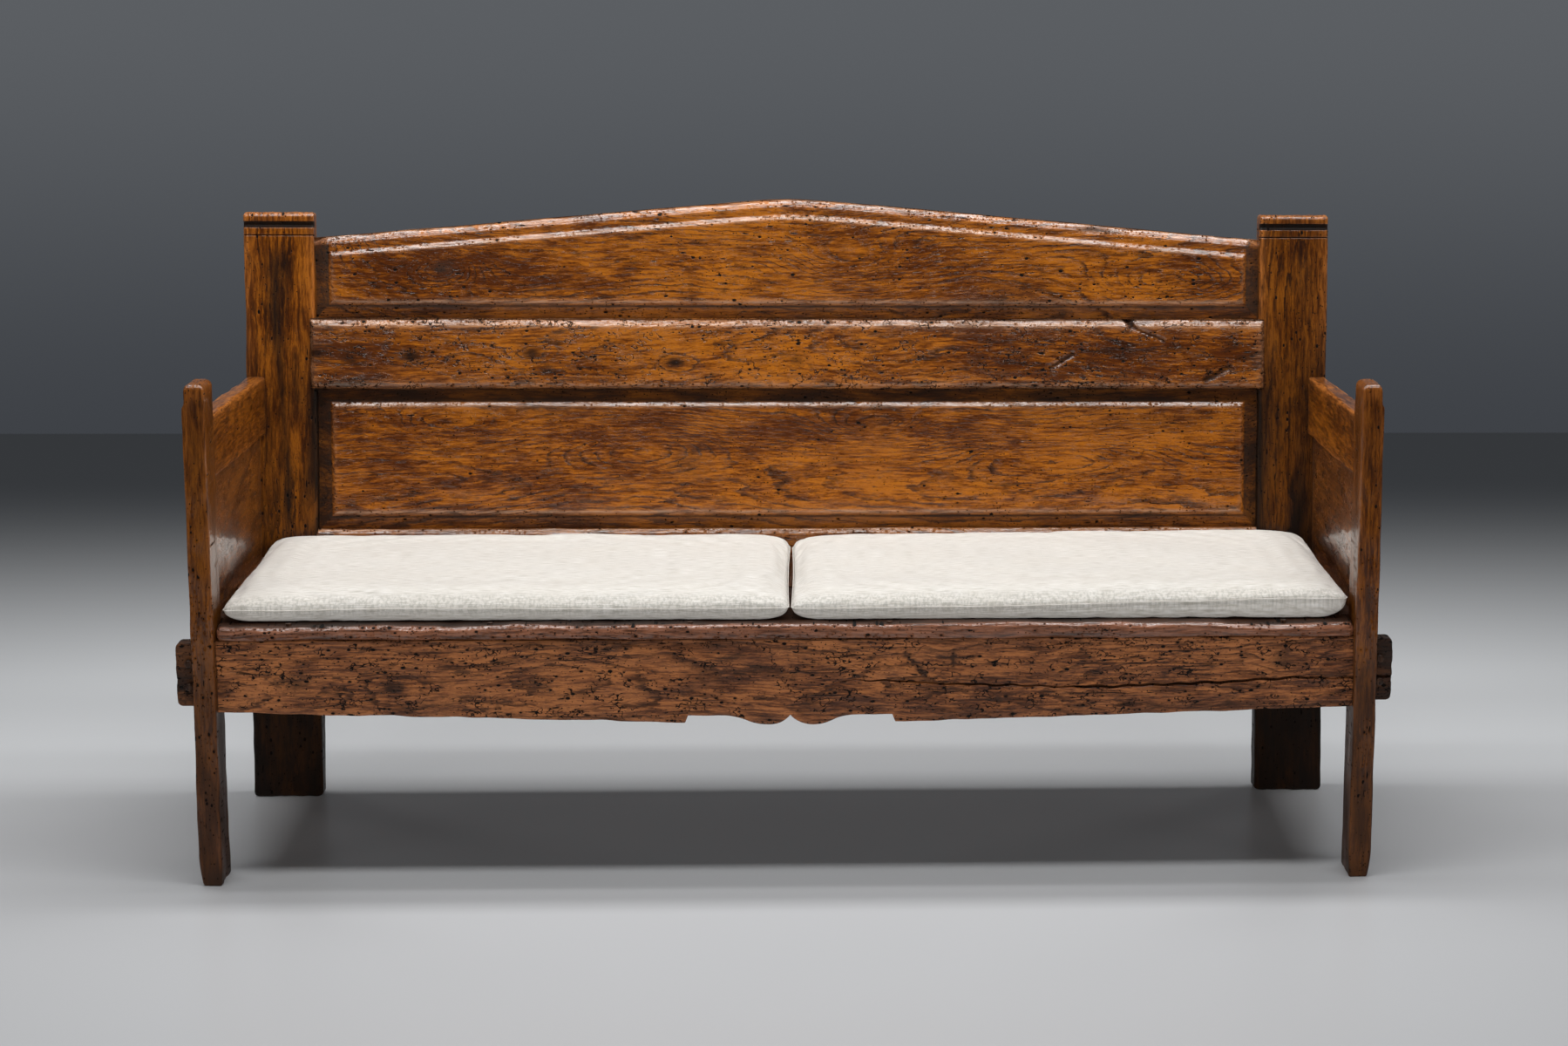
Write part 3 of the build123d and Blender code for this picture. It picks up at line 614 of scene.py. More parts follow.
lower = {"low": 0.4755, "high": 0.7215, "radius": 0.002, "sway": 0.0003,
         "spacing": ((0.009, 0.006), (0.006, 0.006), (0.006, 0.006)), "topSlope": 0.0088, "soot": 0.95,
         "lowSoot": 0.55,
         "stains": (((-0.42, 0.690), (0.12, 0.010), 0.45), ((0.16, 0.665), (0.05, 0.012), 0.3),
                    ((0.55, 0.690), (0.14, 0.012), 0.4), ((-0.18, 0.60), (0.03, 0.04), 0.4),
                    ((0.66, 0.665), (0.10, 0.018), 0.35)),
         "figure": (((0.15, 0.655), (0.10, 0.03), 0.05), ((-0.25, 0.62), (0.14, 0.05), -0.06),
                    ((-0.60, 0.66), (0.12, 0.03), 0.045), ((0.48, 0.60), (0.16, 0.04), -0.05))}


def gableTop(x):
    # straight slopes to the apex, which is eased over its middle
    drop = (crest["apex"] - crest["side"]) / postInside
    return crest["apex"] - drop * (np.sqrt(x * x + crest["easing"]) - 0.3 * math.sqrt(crest["easing"]))


def panelRows(deep):
    # even steps from an edge, as far in as deep
    return np.arange(0.0, deep, fielded["rowStep"])


def panelBoard(panel, low, high, rows, seed):
    # flat worn board whose rows close up along the bevels
    ends = fielded["sight"] - panelRows(fielded["rowsDeep"])
    places = ((-fielded["reach"], fielded["reach"]), (fielded["margin"], fielded["back"]), (low, high))
    extras = (np.concatenate([ends, -ends]), (), np.concatenate(rows))
    flat, points, faces, marks = cutBoard(panel, places, seed, along=0, extras=extras)
    onFront = smooth(flat[:, 1], fielded["margin"] + 0.008, fielded["margin"] + 0.004)
    return points.T, faces, marks, onFront


def panelFace(toEdge, toField, slope):
    # the bevel falls from the margin to the groove, and the field stands up behind its slope
    bevel = (fielded["bevelFoot"] - fielded["margin"]) * (1 - softRamp(toEdge / fielded["bevel"]))
    return bevel - (fielded["margin"] - fielded["field"]) * softRamp(toField / slope)


def panelDirt(toEdge, sooty):
    # dirt and painted shade over the bevel, and a painted shade line in the quirk
    lineAt, lineHalf = fielded["dirtLine"]
    line = 0.9 * np.exp(-((toEdge - lineAt) / lineHalf) ** 2)
    return np.clip(smooth(toEdge, 0.026, 0.016) * sooty + line, 0, 1)


def panelArris(toField, atSide):
    # rubbed edge of the field, painted lighter as a highlight, less so at the ends
    arrisAt, arrisHalf = fielded["arris"]
    return np.exp(-((toField - arrisAt) / arrisHalf) ** 2) * np.where(atSide, fielded["sideWear"], 1)


def crestPanel(finish):
    # fielded panel below, gable above: its top edge is taken off and rounded
    rows = (crest["low"] + panelRows(fielded["rowsDeep"]), crest["apex"] - panelRows(crest["rollRows"]))
    start = crest["low"] - fielded["lap"]
    board, faces, marks, onFront = panelBoard(crest, start, crest["apex"], rows, seed=41)
    x, n, h = board
    top = gableTop(x)
    # rows keep their distance from the nearer edge, and close up evenly between
    keepLow, keepHigh = crest["low"] + crest["keepLow"], crest["apex"] - crest["keepHigh"]
    squeezed = keepLow + (h - keepLow) * (top - crest["keepHigh"] - keepLow) / (keepHigh - keepLow)
    h = np.where(h > keepHigh, top - (crest["apex"] - h), np.where(h < keepLow, h, squeezed))
    toSide, toFoot, toStrip = fielded["sight"] - np.abs(x), h - crest["low"], top - h - crest["strip"]
    toEdge = np.minimum(toSide, toFoot)
    inside = toEdge - fielded["bevel"] - fielded["quirk"]
    toField = np.minimum(inside, toStrip)
    slope = np.where(inside < toStrip, fielded["step"], crest["slope"])
    roll = crest["rollDeep"] * (1 - softRamp((top - h) / crest["rollHigh"], 8))
    n = n + (panelFace(toEdge, toField, slope) + bells(x, h, crest["chips"]).sum(0) + roll) * onFront
    atSide = toSide < toFoot
    # crest bevels painted darker: shade in the grooves beside the posts, less on the downward bottom bevel
    grime = panelDirt(toEdge, np.where(atSide, crest["sideSoot"], crest["lowSoot"]))
    grime = grime * onFront * smooth(top - h, 0.005, 0.02)
    marks["grime"] = np.maximum(grime, bells(x, h, crest["stains"]).max(0))
    centre, reach, strength = crest["fan"]
    fan = strength * np.tanh(np.hypot(x - centre[0], h - centre[1]) / reach)
    marks["figure"] = bells(x, h, crest["figure"]).sum(0) + fan
    # the rounded top edge and the field's arris are painted lighter: rubbed wear with a painted highlight
    rubbed = np.maximum(np.exp(-(top - h) / 0.006), panelArris(toField, atSide))
    marks["wear"] = rubbed * (1 - marks["grime"])
    addPiece("crestPanel", leaning(x, n, h), faces, marks, finish, "crest_panel")


def lowerPanel(finish):
    # fielded panel with a bevel on all four sides
    near = panelRows(fielded["rowsDeep"])
    rows = (lower["low"] + near, lower["high"] - near)
    start, end = lower["low"] - fielded["lap"], lower["high"] + fielded["lap"]
    board, faces, marks, onFront = panelBoard(lower, start, end, rows, seed=47)
    x, n, h = board
    toSide, toFoot, toTop = fielded["sight"] - np.abs(x), h - lower["low"], lower["high"] - h
    toEdge = np.minimum(toSide, np.minimum(toFoot, toTop))
    toField = toEdge - fielded["bevel"] - fielded["quirk"]
    nearest = toEdge + fielded["level"]
    slope = np.where(toTop < nearest, lower["topSlope"], fielded["step"])
    n = n + panelFace(toEdge, toField, slope) * onFront
    # painted shade on the bevels under the proud middle rail and beside the posts, less on the bottom bevel
    sooty = np.where(toFoot < np.minimum(toSide, toTop), lower["lowSoot"], lower["soot"])
    marks["grime"] = np.maximum(panelDirt(toEdge, sooty) * onFront, bells(x, h, lower["stains"]).max(0))
    marks["figure"] = bells(x, h, lower["figure"]).sum(0)
    marks["wear"] = panelArris(toField, toSide < nearest) * (1 - marks["grime"])
    addPiece("lowerPanel", leaning(x, n, h), faces, marks, finish, "lower_panel")


# middle rail: a thick slab that stands proud of the posts, chamfered all round and badly knocked about
slab = {"half": 0.838, "low": 0.722, "high": 0.846, "proud": 0.010, "radius": 0.0024, "sway": 0.0004,
        "spacing": ((0.007, 0.010), (0.008, 0.008), (0.0032, 0.006)),
        "bevels": ((0.012, 16), (0.009, 9), (0.006, 9)),  # width and crispness, above, below and at the ends
        "ragged": (0.0008, 0.09, 57), "gashRows": (0.008, 0.002), "arris": (0.010, 0.006),
        "gashes": (((0.590, 0.850), (0.602, 0.834), 0.006, 0.006),
                   ((0.602, 0.832), (0.659, 0.809), 0.003, 0.004),
                   ((0.734, 0.739), (0.775, 0.761), 0.0055, 0.005),
                   ((0.459, 0.761), (0.497, 0.784), 0.0045, 0.0045),
                   ((0.277, 0.740), (0.303, 0.742), 0.003, 0.0015),
                   ((-0.30, 0.770), (-0.27, 0.772), 0.002, 0.0015)),
        "knots": (((-0.663, 0.781), 0.9), ((-0.454, 0.785), 0.9), ((-0.825, 0.785), 0.7),
                  ((-0.770, 0.777), 0.5), ((-0.205, 0.770), 0.8), ((0.01, 0.774), 0.4), ((0.33, 0.775), 0.3)),
        "core": (0.010, 0.007), "halo": (0.026, 0.014), "swirl": (0.040, 0.016), "swirlShare": 0.016}


def middleRail(finish):
    # front = the least of three chamfer ramps, cut by gashes; knots darken the face and swirl its rings
    spread, fine = slab["gashRows"]
    rows = [np.arange(start[0] - spread, end[0] + spread, fine) for start, end, *_ in slab["gashes"]]
    places = ((-slab["half"], slab["half"]), (-slab["proud"], railBack), (slab["low"], slab["high"]))
    extras = (np.concatenate(rows), (), ())
    flat, points, faces, marks = cutBoard(slab, places, seed=53, along=0, extras=extras)
    x, n, h = points.T
    toTop = slab["high"] - h + wavy(flat, *slab["ragged"])
    reaches = zip((toTop, h - slab["low"], slab["half"] - np.abs(x)), slab["bevels"])
    rise = np.min([softRamp(reach / wide, crisp) for reach, (wide, crisp) in reaches], axis=0)
    onFront = smooth(flat[:, 1], 0.007 - slab["proud"], 0.003 - slab["proud"])
    cut = scored(x, h, slab["gashes"])
    n = n + (slab["proud"] * (1 - rise) + cut) * onFront
    knot = 1.3 * knotty(x, h, slab["knots"], slab["core"]) + 0.6 * knotty(x, h, slab["knots"], slab["halo"])
    foot = 0.5 * smooth(h, slab["low"] + 0.012, slab["low"])
    marks["grime"] = np.clip(knot + 0.85 * smooth(cut, 0.0008, 0.003) + foot, 0, 1) * onFront
    marks["figure"] = slab["swirlShare"] * knotty(x, h, slab["knots"], slab["swirl"])
    # the top arris of the chamfer is painted lighter: rubbed wear with a painted highlight
    arrisAt, arrisHalf = slab["arris"]
    arris = np.exp(-((slab["high"] - h - arrisAt) / arrisHalf) ** 2)
    marks["wear"] = np.clip(np.maximum(marks["wear"], arris), 0, 1) * (1 - marks["grime"])
    addPiece("middleRail", leaning(x, n, h), faces, marks, finish, "middle_rail")


# bottom rail: plain, behind the cushions, its top arris taken off
bottom = {"half": postInside + 0.004, "low": 0.341, "high": 0.475, "radius": 0.0022, "sway": 0.0006,
          "spacing": ((0.012, 0.006), (0.006, 0.008), (0.006, 0.010)), "ragged": (0.0008, 0.08, 63),
          "cut": 0.007, "slope": 0.0085, "dirt": (0.45, 0.40)}


def bottomRail(finish):
    # worn board whose front falls back along a ragged chamfer at the top
    places = ((-bottom["half"], bottom["half"]), (0.0, railBack), (bottom["low"], bottom["high"]))
    flat, points, faces, marks = cutBoard(bottom, places, seed=61, along=0)
    x, n, h = points.T
    rise = softRamp((bottom["high"] - h + wavy(flat, *bottom["ragged"])) / bottom["slope"], 9)
    n = n + bottom["cut"] * (1 - rise) * smooth(flat[:, 1], 0.008, 0.003)
    # the lower part, behind the seat and under the cushions, is painted darker as shade
    marks["grime"] = 0.6 * smooth(h, *bottom["dirt"])
    addPiece("bottomRail", leaning(x, n, h), faces, marks, finish, "bottom_rail")


# arms and sides, between a front leg and the leaning post
armTop = 0.755
armLow = armTop - 0.103
armFall = 0.014  # from the leg to the post
sides = {
    "ArmRail": {"node": "_arm_rail", "wide": (0.918, halfSpan), "high": (armLow, armTop), "fall": armFall,
                "tuck": 0.004, "radius": 0.0065, "dirt": 0.6, "under": 0, "seed": 101, "finish": "arms"},
    "SidePanel": {"node": "_side_panel", "wide": (0.928, 0.940), "high": (seatUnder - 0.008, armLow + 0.006),
                  "fall": 0.98 * armFall, "tuck": 0.006, "radius": 0.0012, "dirt": 0.8, "under": 1,
                  "seed": 111, "finish": "panels"},
    "SideRail": {"node": "_side_rail", "wide": (0.898, halfSpan), "high": (seatUnder - 0.096, seatUnder),
                 "fall": 0.0, "tuck": 0.004, "radius": 0.003, "dirt": 0.6, "under": 0, "seed": 121,
                 "finish": "sides"},
}
sideRows = {"spacing": ((0.006, 0.008), (0.011, 0.012), (0.007, 0.009)), "length": 0.5, "sway": 0.0005}


def sideBoard(word, side, kind, board):
    # worn board of a nominal length, then stretched so that each row runs from the leg to the leaning post
    (xStep, xArris), (yStep, yArris), (zStep, zArris) = sideRows["spacing"]
    inner, outer = board["wide"]
    low, high = board["high"]
    xs = ticks(inner, outer, xStep, min(xArris, 0.4 * (outer - inner)))
    ys = ticks(0.0, 1.0, yStep, yArris) * sideRows["length"]
    zs = ticks(low, high, zStep, zArris)
    seed = board["seed"] + side
    flat, points, faces, marks = wornBoard(xs, ys, zs, board["radius"], sideRows["sway"], seed, 1)
    x, s, z = points.T
    s = s / sideRows["length"]  # share of the way from the leg to the post
    z = z - board["fall"] * s
    start, end = legBack - board["tuck"], postFace(z) + board["tuck"]
    y = start + s * (end - start)
    # darker near the leg and the post; on the side panel, a painted shadow under the arm rail
    nearEnds = np.exp(-s / 0.03) + np.exp(-(1 - s) / 0.05)
    under = board["under"] * np.exp(-(high - flat[:, 2]) / 0.012)
    marks["grime"] = np.clip(board["dirt"] * (nearEnds + under), 0, 1)
    marks["wear"] *= (s > 0.01) & (s < 0.99)
    points = np.stack([side * x, y, z], 1)
    addPiece(word + kind, points, faces[:, ::side], marks, finishes[board["finish"]], word + board["node"])


# seat: front plank with a worn, wavy nosing, wider behind the legs
nosing = {"front": legFront + 0.013, "joint": legFront + 0.303, "end": 0.9135, "behind": 0.9275,
          "notch": legBack + 0.0005, "lip": 0.0004, "radius": 0.0095, "sway": 0.0006,
          "spacing": ((0.008, 0.008), (0.012, 0.014), (0.004, 0.009)), "reach": 0.03, "back": 0.0015,
          "ragged": ((0.0014, 0.22, 73), (0.0006, 0.05, 74)), "dip": 0.0035, "deepest": 0.008,
          "dips": ((0.003, 0.3, 75), (0.0006, 0.06, 76)), "arris": (0.004, 0.008), "dirt": (0.005, 0.014)}


def seatPlank(finish):
    # worn board whose front edge wanders in and out and dips, by waves along the bench
    notch, lip = nosing["notch"], nosing["lip"]
    places = ((-nosing["end"], nosing["end"]), (nosing["front"], nosing["joint"]), (seatUnder, seatTop))
    extras = ((), (notch - lip, notch), ())
    flat, points, faces, marks = cutBoard(nosing, places, seed=71, along=0, extras=extras)
    x, y, z = points.T
    x = np.where(flat[:, 1] > notch - lip / 2, x * nosing["behind"] / nosing["end"], x)
    front = np.exp(-(y - nosing["front"]) / nosing["reach"])
    y = y + front * (nosing["back"] + sum(wavy(flat, *wave) for wave in nosing["ragged"]))
    dip = np.clip(nosing["dip"] + sum(wavy(flat, *wave) for wave in nosing["dips"]), 0, nosing["deepest"])
    z = z - front * (z - seatUnder) / (seatTop - seatUnder) * dip
    # the front arris is painted lighter: rubbed wear with a painted highlight
    arrisAt, arrisHalf = nosing["arris"]
    arris = np.exp(-((y - nosing["front"] - arrisAt) / arrisHalf) ** 2)
    arris = arris * smooth(z, seatUnder + 0.004, seatUnder + 0.012)
    marks["wear"] = np.maximum(marks["wear"] * 0.5, arris)
    # the top behind the nosing is painted dark: stain, and the shadow under the cushions' front
    marks["grime"] = 0.97 * smooth(y - nosing["front"], *nosing["dirt"])
    addPiece("seatFrontPlank", np.stack([x, y, z], 1), faces, marks, finish, "seat_front_plank")


# apron: scalloped board, split along its right half, its ends passing through the legs
apronSizes = {"front": legFront + 0.019, "thick": 0.028, "low": 0.258, "end": 0.978, "radius": 0.0028,
              "sway": 0.0006, "spacing": ((0.0065, 0.006), (0.006, 0.007), (0.0045, 0.007)),
              # close rows at the scallops, the steps, the ends and the legs
              "fineRows": ((0.0, 0.12, 0.003), (0.160, 0.176, 0.0011), (0.962, 0.978, 0.0016)),
              "legRows": (0.9135, 0.9165, 0.920),
              "tenon": (0.293, 0.398), "tenonRound": 0.010, "shoulder": (0.914, 0.919),
              "edge": (0.0007, 0.07, 85), "splitWander": (0.0012, 0.05, 87),
              "split": ((0.060, 0.327), (0.108, 0.332), (0.270, 0.324), (0.440, 0.319), (0.500, 0.318),
                        (0.659, 0.323), (0.819, 0.332), (0.914, 0.332), (0.978, 0.333)),
              "splitDeep": 0.009, "splitRow": 0.56, "splitStart": (0.055, 0.16),
              "splitSwing": (0.25, 0.11, 89),
              "splitRows": (-4, -2.4, -1.5, -0.9, -0.4, 0, 0.4, 0.9, 1.5, 2.4, 4),  # mm from the split
              "knots": (((-0.789, 0.329), 0.8), ((-0.637, 0.322), 0.7), ((0.800, 0.361), 0.85),
                        ((-0.30, 0.385), 0.5), ((0.26, 0.372), 0.35)),
              "core": (0.020, 0.012), "swirl": (0.05, 0.022), "swirlShare": 0.016,
              "stain": ((-0.33, 0.398), (0.2, 0.012)),
              "scratches": (((0.262, 0.382), (0.264, 0.352), 0.0022, 0.0018),
                            ((0.186, 0.374), (0.216, 0.342), 0.0040, 0.0022),
                            ((-0.128, 0.352), (-0.112, 0.340), 0.002, 0.002),
                            ((-0.09, 0.345), (-0.07, 0.343), 0.0016, 0.002))}

# the apron's lower edge, in mm from the middle and above the floor
scallopSizes = {"low": 258, "flat": 274, "lobe": 36, "turn": 71, "ogee": 106, "lobeRadius": 46.6,
                "ogeeRadius": 80.56, "step": 165, "stepWide": 4.5, "stepDeep": 12, "rise": 21,
                "riseFrom": 170, "riseWide": 744}


def scallop(x):
    # lower edge: lobes from circle arcs beside the cusp, ogee, flat, step, then a straight rise to the legs
    size = scallopSizes
    a = np.abs(x) * 1000

    def arc(radius, centre):
        # rise of a circle above its lowest point
        return radius - np.sqrt(np.clip(radius**2 - (a - centre) ** 2, 0, None))

    lobe = size["low"] + arc(size["lobeRadius"], size["lobe"])
    hollow = size["low"] + arc(size["ogeeRadius"], size["lobe"])
    swelling = size["flat"] - arc(size["ogeeRadius"], size["ogee"])
    level = np.full_like(a, size["flat"])
    stepped = size["flat"] - size["stepDeep"] * np.clip((a - size["step"]) / size["stepWide"], 0, 1)
    reaches = [a < size[key] for key in ("lobe", "turn", "ogee", "step")]
    edge = np.select(reaches, [lobe, hollow, swelling, level], stepped)
    return (edge + size["rise"] * np.clip((a - size["riseFrom"]) / size["riseWide"], 0, 1)) / 1000


def apronBoard(finish):
    # board between a top and a lower edge: height = top - row * (top - low), with one row led along the split
    size = apronSizes
    fine = np.concatenate([np.arange(*rows) for rows in size["fineRows"]] + [size["legRows"]])
    tall = seatUnder - size["low"]
    rowZ = seatUnder - size["splitRow"] * tall
    back = size["front"] + size["thick"]
    places = ((-size["end"], size["end"]), (size["front"], back), (size["low"], seatUnder))
    extras = (np.concatenate([fine, -fine]), (), rowZ + np.array(size["splitRows"]) / 1000)
    flat, points, faces, marks = cutBoard(size, places, seed=83, along=0, extras=extras)
    x, y, z = points.T
    row = (seatUnder - z) / tall  # 0 at the top edge, 1 at the lower edge
    tenonLow, tenonHigh = size["tenon"]
    inLeg = smooth(np.abs(x), *size["shoulder"])
    q = np.clip((np.abs(x) - size["end"] + size["tenonRound"]) / size["tenonRound"], 0, 1)
    tip = size["tenonRound"] * (1 - np.sqrt(1 - q * q))
    high = seatUnder - inLeg * (seatUnder - tenonHigh) - tip
    low = scallop(x) * (1 - inLeg) + inLeg * tenonLow + wavy(flat, *size["edge"]) + tip

    # the split opens along its own row of points
    splitX, splitZ = np.array(size["split"]).T
    path = np.interp(x, splitX, splitZ) + wavy(flat, *size["splitWander"])
    aim = np.clip((high - path) / (high - low), 0.2, 0.8)
    at = size["splitRow"]
    bentRow = np.where(row < at, row * aim / at, 1 - (1 - row) * (1 - aim) / (1 - at))
    row = np.where(x > 0, row + (bentRow - row) * smooth(x, 0.0, 0.05), row)
    z = high - row * (high - low)
    fromSplit = np.abs(flat[:, 2] - rowZ) * 1000
    openness = smooth(x, *size["splitStart"]) * (0.75 + wavy(flat, *size["splitSwing"]))
    gape = np.clip(1.25 - fromSplit / (1.3 + 1.2 * smooth(x, 0.1, 0.6)), 0, 1) * openness
    onFront = smooth(flat[:, 1], size["front"] + 0.006, size["front"] + 0.002)
    scratch = scored(x, z, size["scratches"])
    y = y + onFront * (size["splitDeep"] * gape + scratch)

    marks["figure"] = size["swirlShare"] * knotty(x, z, size["knots"], size["swirl"])
    # inside the split the wood is painted dark as the shade in the crack; knot cores are darker wood
    grime = knotty(x, z, size["knots"], size["core"]) * onFront + smooth(gape, 0.15, 0.6)
    grime = grime + smooth(scratch, 0.0005, 0.001) + 0.95 * smooth(np.abs(x), 0.93, 0.95)
    marks["grime"] = np.maximum(np.clip(grime, 0, 1), 0.6 * hump(x, z, *size["stain"]) * onFront)
    marks["wear"] *= 0.7 * (1 - marks["grime"])
    addPiece("apronBoard", np.stack([x, y, z], 1), faces, marks, finish, "apron")


# one finish for each board; offset and heart decide its figure, depth and soot its age; the soot colour also
# paints shade
# the back's rub colour is pale grey: worn edges with a painted reflection of the lamps
backOak = dict(order="xzy", lean=lean, rub=colour(176, 138, 110))
upright = dict(order="zxy", relief=0.0005, coat=0.6, cover=0.93)
postOak = dict(upright, lean=lean, soot=colour(20, 14, 10))
legOak = dict(upright, soot=colour(48, 32, 23), rub=colour(140, 80, 30), bend=(0.03, 0.05))
sideOak = dict(order="yzx", patches=0.3, channels=0.1)
dull = dict(coat=0.05, rough=(0.45, 0.65), shine=0.3)
finishes = {
    "crest": oakFinish("oakCrest", **backOak, offset=3.55, heart=(0.86, 0.34), soot=colour(54, 42, 35),
                       patches=0.55, specks=0.6, channels=0.6),
    "middle": oakFinish("oakMiddleRail", **backOak, offset=7.7, heart=(0.80, 0.30), soot=colour(26, 17, 12),
                        patches=0.6, holes=1.0, specks=0.8, channels=0.8, tracks=0.9),
    "lower": oakFinish("oakLowerPanel", **backOak, offset=1.4, heart=(0.55, 0.33), soot=colour(42, 31, 25),
                       patches=0.4, holes=0.2, channels=0.15),
    "bottom": oakFinish("oakBottomRail", **backOak, offset=5.2, heart=(0.40, 0.34)),
    "leftPost": oakFinish("oakLeftPost", **postOak, offset=2.3, heart=(-0.88, 0.36), bend=(0.03, 0.07),
                          depth=0.8),
    "rightPost": oakFinish("oakRightPost", **postOak, offset=8.9, heart=(0.93, 0.36), bend=(0.03, 0.08),
                           depth=0.50, patches=0.5, lines=1.0),
    "leftLeg": oakFinish("oakLeftLeg", **legOak, offset=4.4, heart=(-0.93, -0.22), depth=0.32, patches=0.25,
                         lines=0.5),
    "rightLeg": oakFinish("oakRightLeg", **legOak, offset=6.1, heart=(0.93, -0.22), depth=0.42, lines=0.9),
    "arms": oakFinish("oakArms", **sideOak, offset=0.7, heart=(0.70, 0.0), bend=(0.06, 0.10), depth=0.75,
                      holes=0.15, relief=0.0005, coat=0.5),
    "panels": oakFinish("oakSidePanels", **sideOak, offset=9.3, heart=(0.52, 0.0), bend=(0.05, 0.09),
                        depth=0.70, holes=0.1, relief=0.0003, shine=0.8),
    "seat": oakFinish("oakSeat", offset=2.9, heart=(0.36, -0.25), dark=colour(48, 26, 15),
                      middle=colour(84, 48, 29), light=colour(126, 77, 50), rub=colour(150, 100, 76),
                      patches=0.5, holes=0.8, specks=0.7, coat=0.8),
    "sides": oakFinish("oakSideRails", order="yzx", offset=5.9, heart=(0.35, 0.0), depth=0.7, patches=0.6),
    "apron": oakFinish("oakApron", offset=4.0, heart=(0.33, -0.20), bend=(0.09, 0.11),
                       dark=colour(62, 33, 18), middle=colour(113, 66, 37), light=colour(162, 101, 57),
                       rub=colour(158, 104, 70), patches=0.7, holes=1.5, specks=0.9, channels=1.2,
                       tracks=1.0, checks=0.9, rough=(0.40, 0.62), coat=0.1, shine=0.35, relief=0.0018),
    "pegs": oakFinish("oakPegs", **dull, order="zxy", offset=1.9, dark=colour(34, 22, 16),
                      middle=colour(58, 38, 26), light=colour(84, 56, 38)),
    "patch": oakFinish("oakPatch", **dull, offset=6.6, dark=colour(40, 28, 20), middle=colour(70, 48, 32),
                       light=colour(100, 70, 48)),
}

frontLeg("leftFrontLeg", -1, 11, finishes["leftLeg"], "left_front_leg")
frontLeg("rightFrontLeg", 1, 17, finishes["rightLeg"], "right_front_leg")
rearPost("leftRearPost", -1, 23, finishes["leftPost"], "left_rear_post",
         streakAt=0.888, streakShare=1.0, gloom=0.60)
rearPost("rightRearPost", 1, 29, finishes["rightPost"], "right_rear_post",
         streakAt=0.902, streakShare=0.25, gloom=0.8)
crestPanel(finishes["crest"])
middleRail(finishes["middle"])
lowerPanel(finishes["lower"])
bottomRail(finishes["bottom"])
for word, side in (("left", -1), ("right", 1)):
    for kind, board in sides.items():
        sideBoard(word, side, kind, board)
seatPlank(finishes["seat"])
apronBoard(finishes["apron"])

# solids that keep their own shape and get a finish
keptSolids = {"seat": ("seat_rear_plank",), "sides": ("left_seat_bearer", "right_seat_bearer"),
              "patch": ("apron_patch",), "pegs": ("left_tenon_keys", "right_tenon_keys", "back_pegs",
                                                  "left_side_pegs", "right_side_pegs", "seat_pegs")}
for key, nodeNames in keptSolids.items():
    for nodeName in nodeNames:
        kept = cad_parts[nodeName].data
        kept.materials.clear()
        kept.materials.append(finishes[key])
print("settle: wood finished")

# cushions: two covers sewn together along a seam at half height, filled, lying on the seat
cushion = {"gap": 0.002, "outside": 0.906, "front": legFront + 0.040, "back": postFace(seatTop) - 0.004,
           "rest": seatTop + 0.0003, "seam": seatTop + 0.0203, "crown": 0.0235, "belly": 0.020,
           "topEdge": 0.060, "lowEdge": 0.010, "endEdge": 0.050, "rise": 0.012, "corners": (0.010, 0.030),
           "pull": (0.003, 0.0025), "columns": 128, "rows": 76, "crowding": (1.35, 1.30), "frames": 20,
           "cap": (0.0020, 0.0015, 0.0060),  # how far the filling may move the cover: aside, down and up
           "pucker": 0.0011, "puckerStep": 0.022, "puckerReach": 0.016, "dent": 0.0012, "dentStep": 0.22,
           "fold": 0.6, "crease": (0.028, 0.010)}
filling = {"quality": 5, "mass": 0.35, "tension_stiffness": 60, "compression_stiffness": 60,
           "bending_stiffness": 0.4, "tension_damping": 25, "compression_damping": 25, "air_damping": 10,
           "use_pressure": True, "uniform_pressure_force": 0.5, "vertex_group_mass": "seam",
           "shrink_min": -0.004}


def crowded(count, crowding):
    # places from -1 to 1 that close up towards both ends as a sine does
    return np.sin(np.linspace(-1, 1, count + 1) * crowding) / math.sin(crowding)


def cornerInset(reach, radius):
    # quarter circle that takes off a corner
    short = np.clip(1 - reach / radius, 0, 1)
    return radius * (1 - np.sqrt(1 - short**2))


def swell(reach, edge, power=2.3):
    # quarter of a superellipse: 0 at the seam, 1 once edge away from it
    return (1 - np.clip(1 - reach / edge, 0, 1) ** power) ** (1 / power)


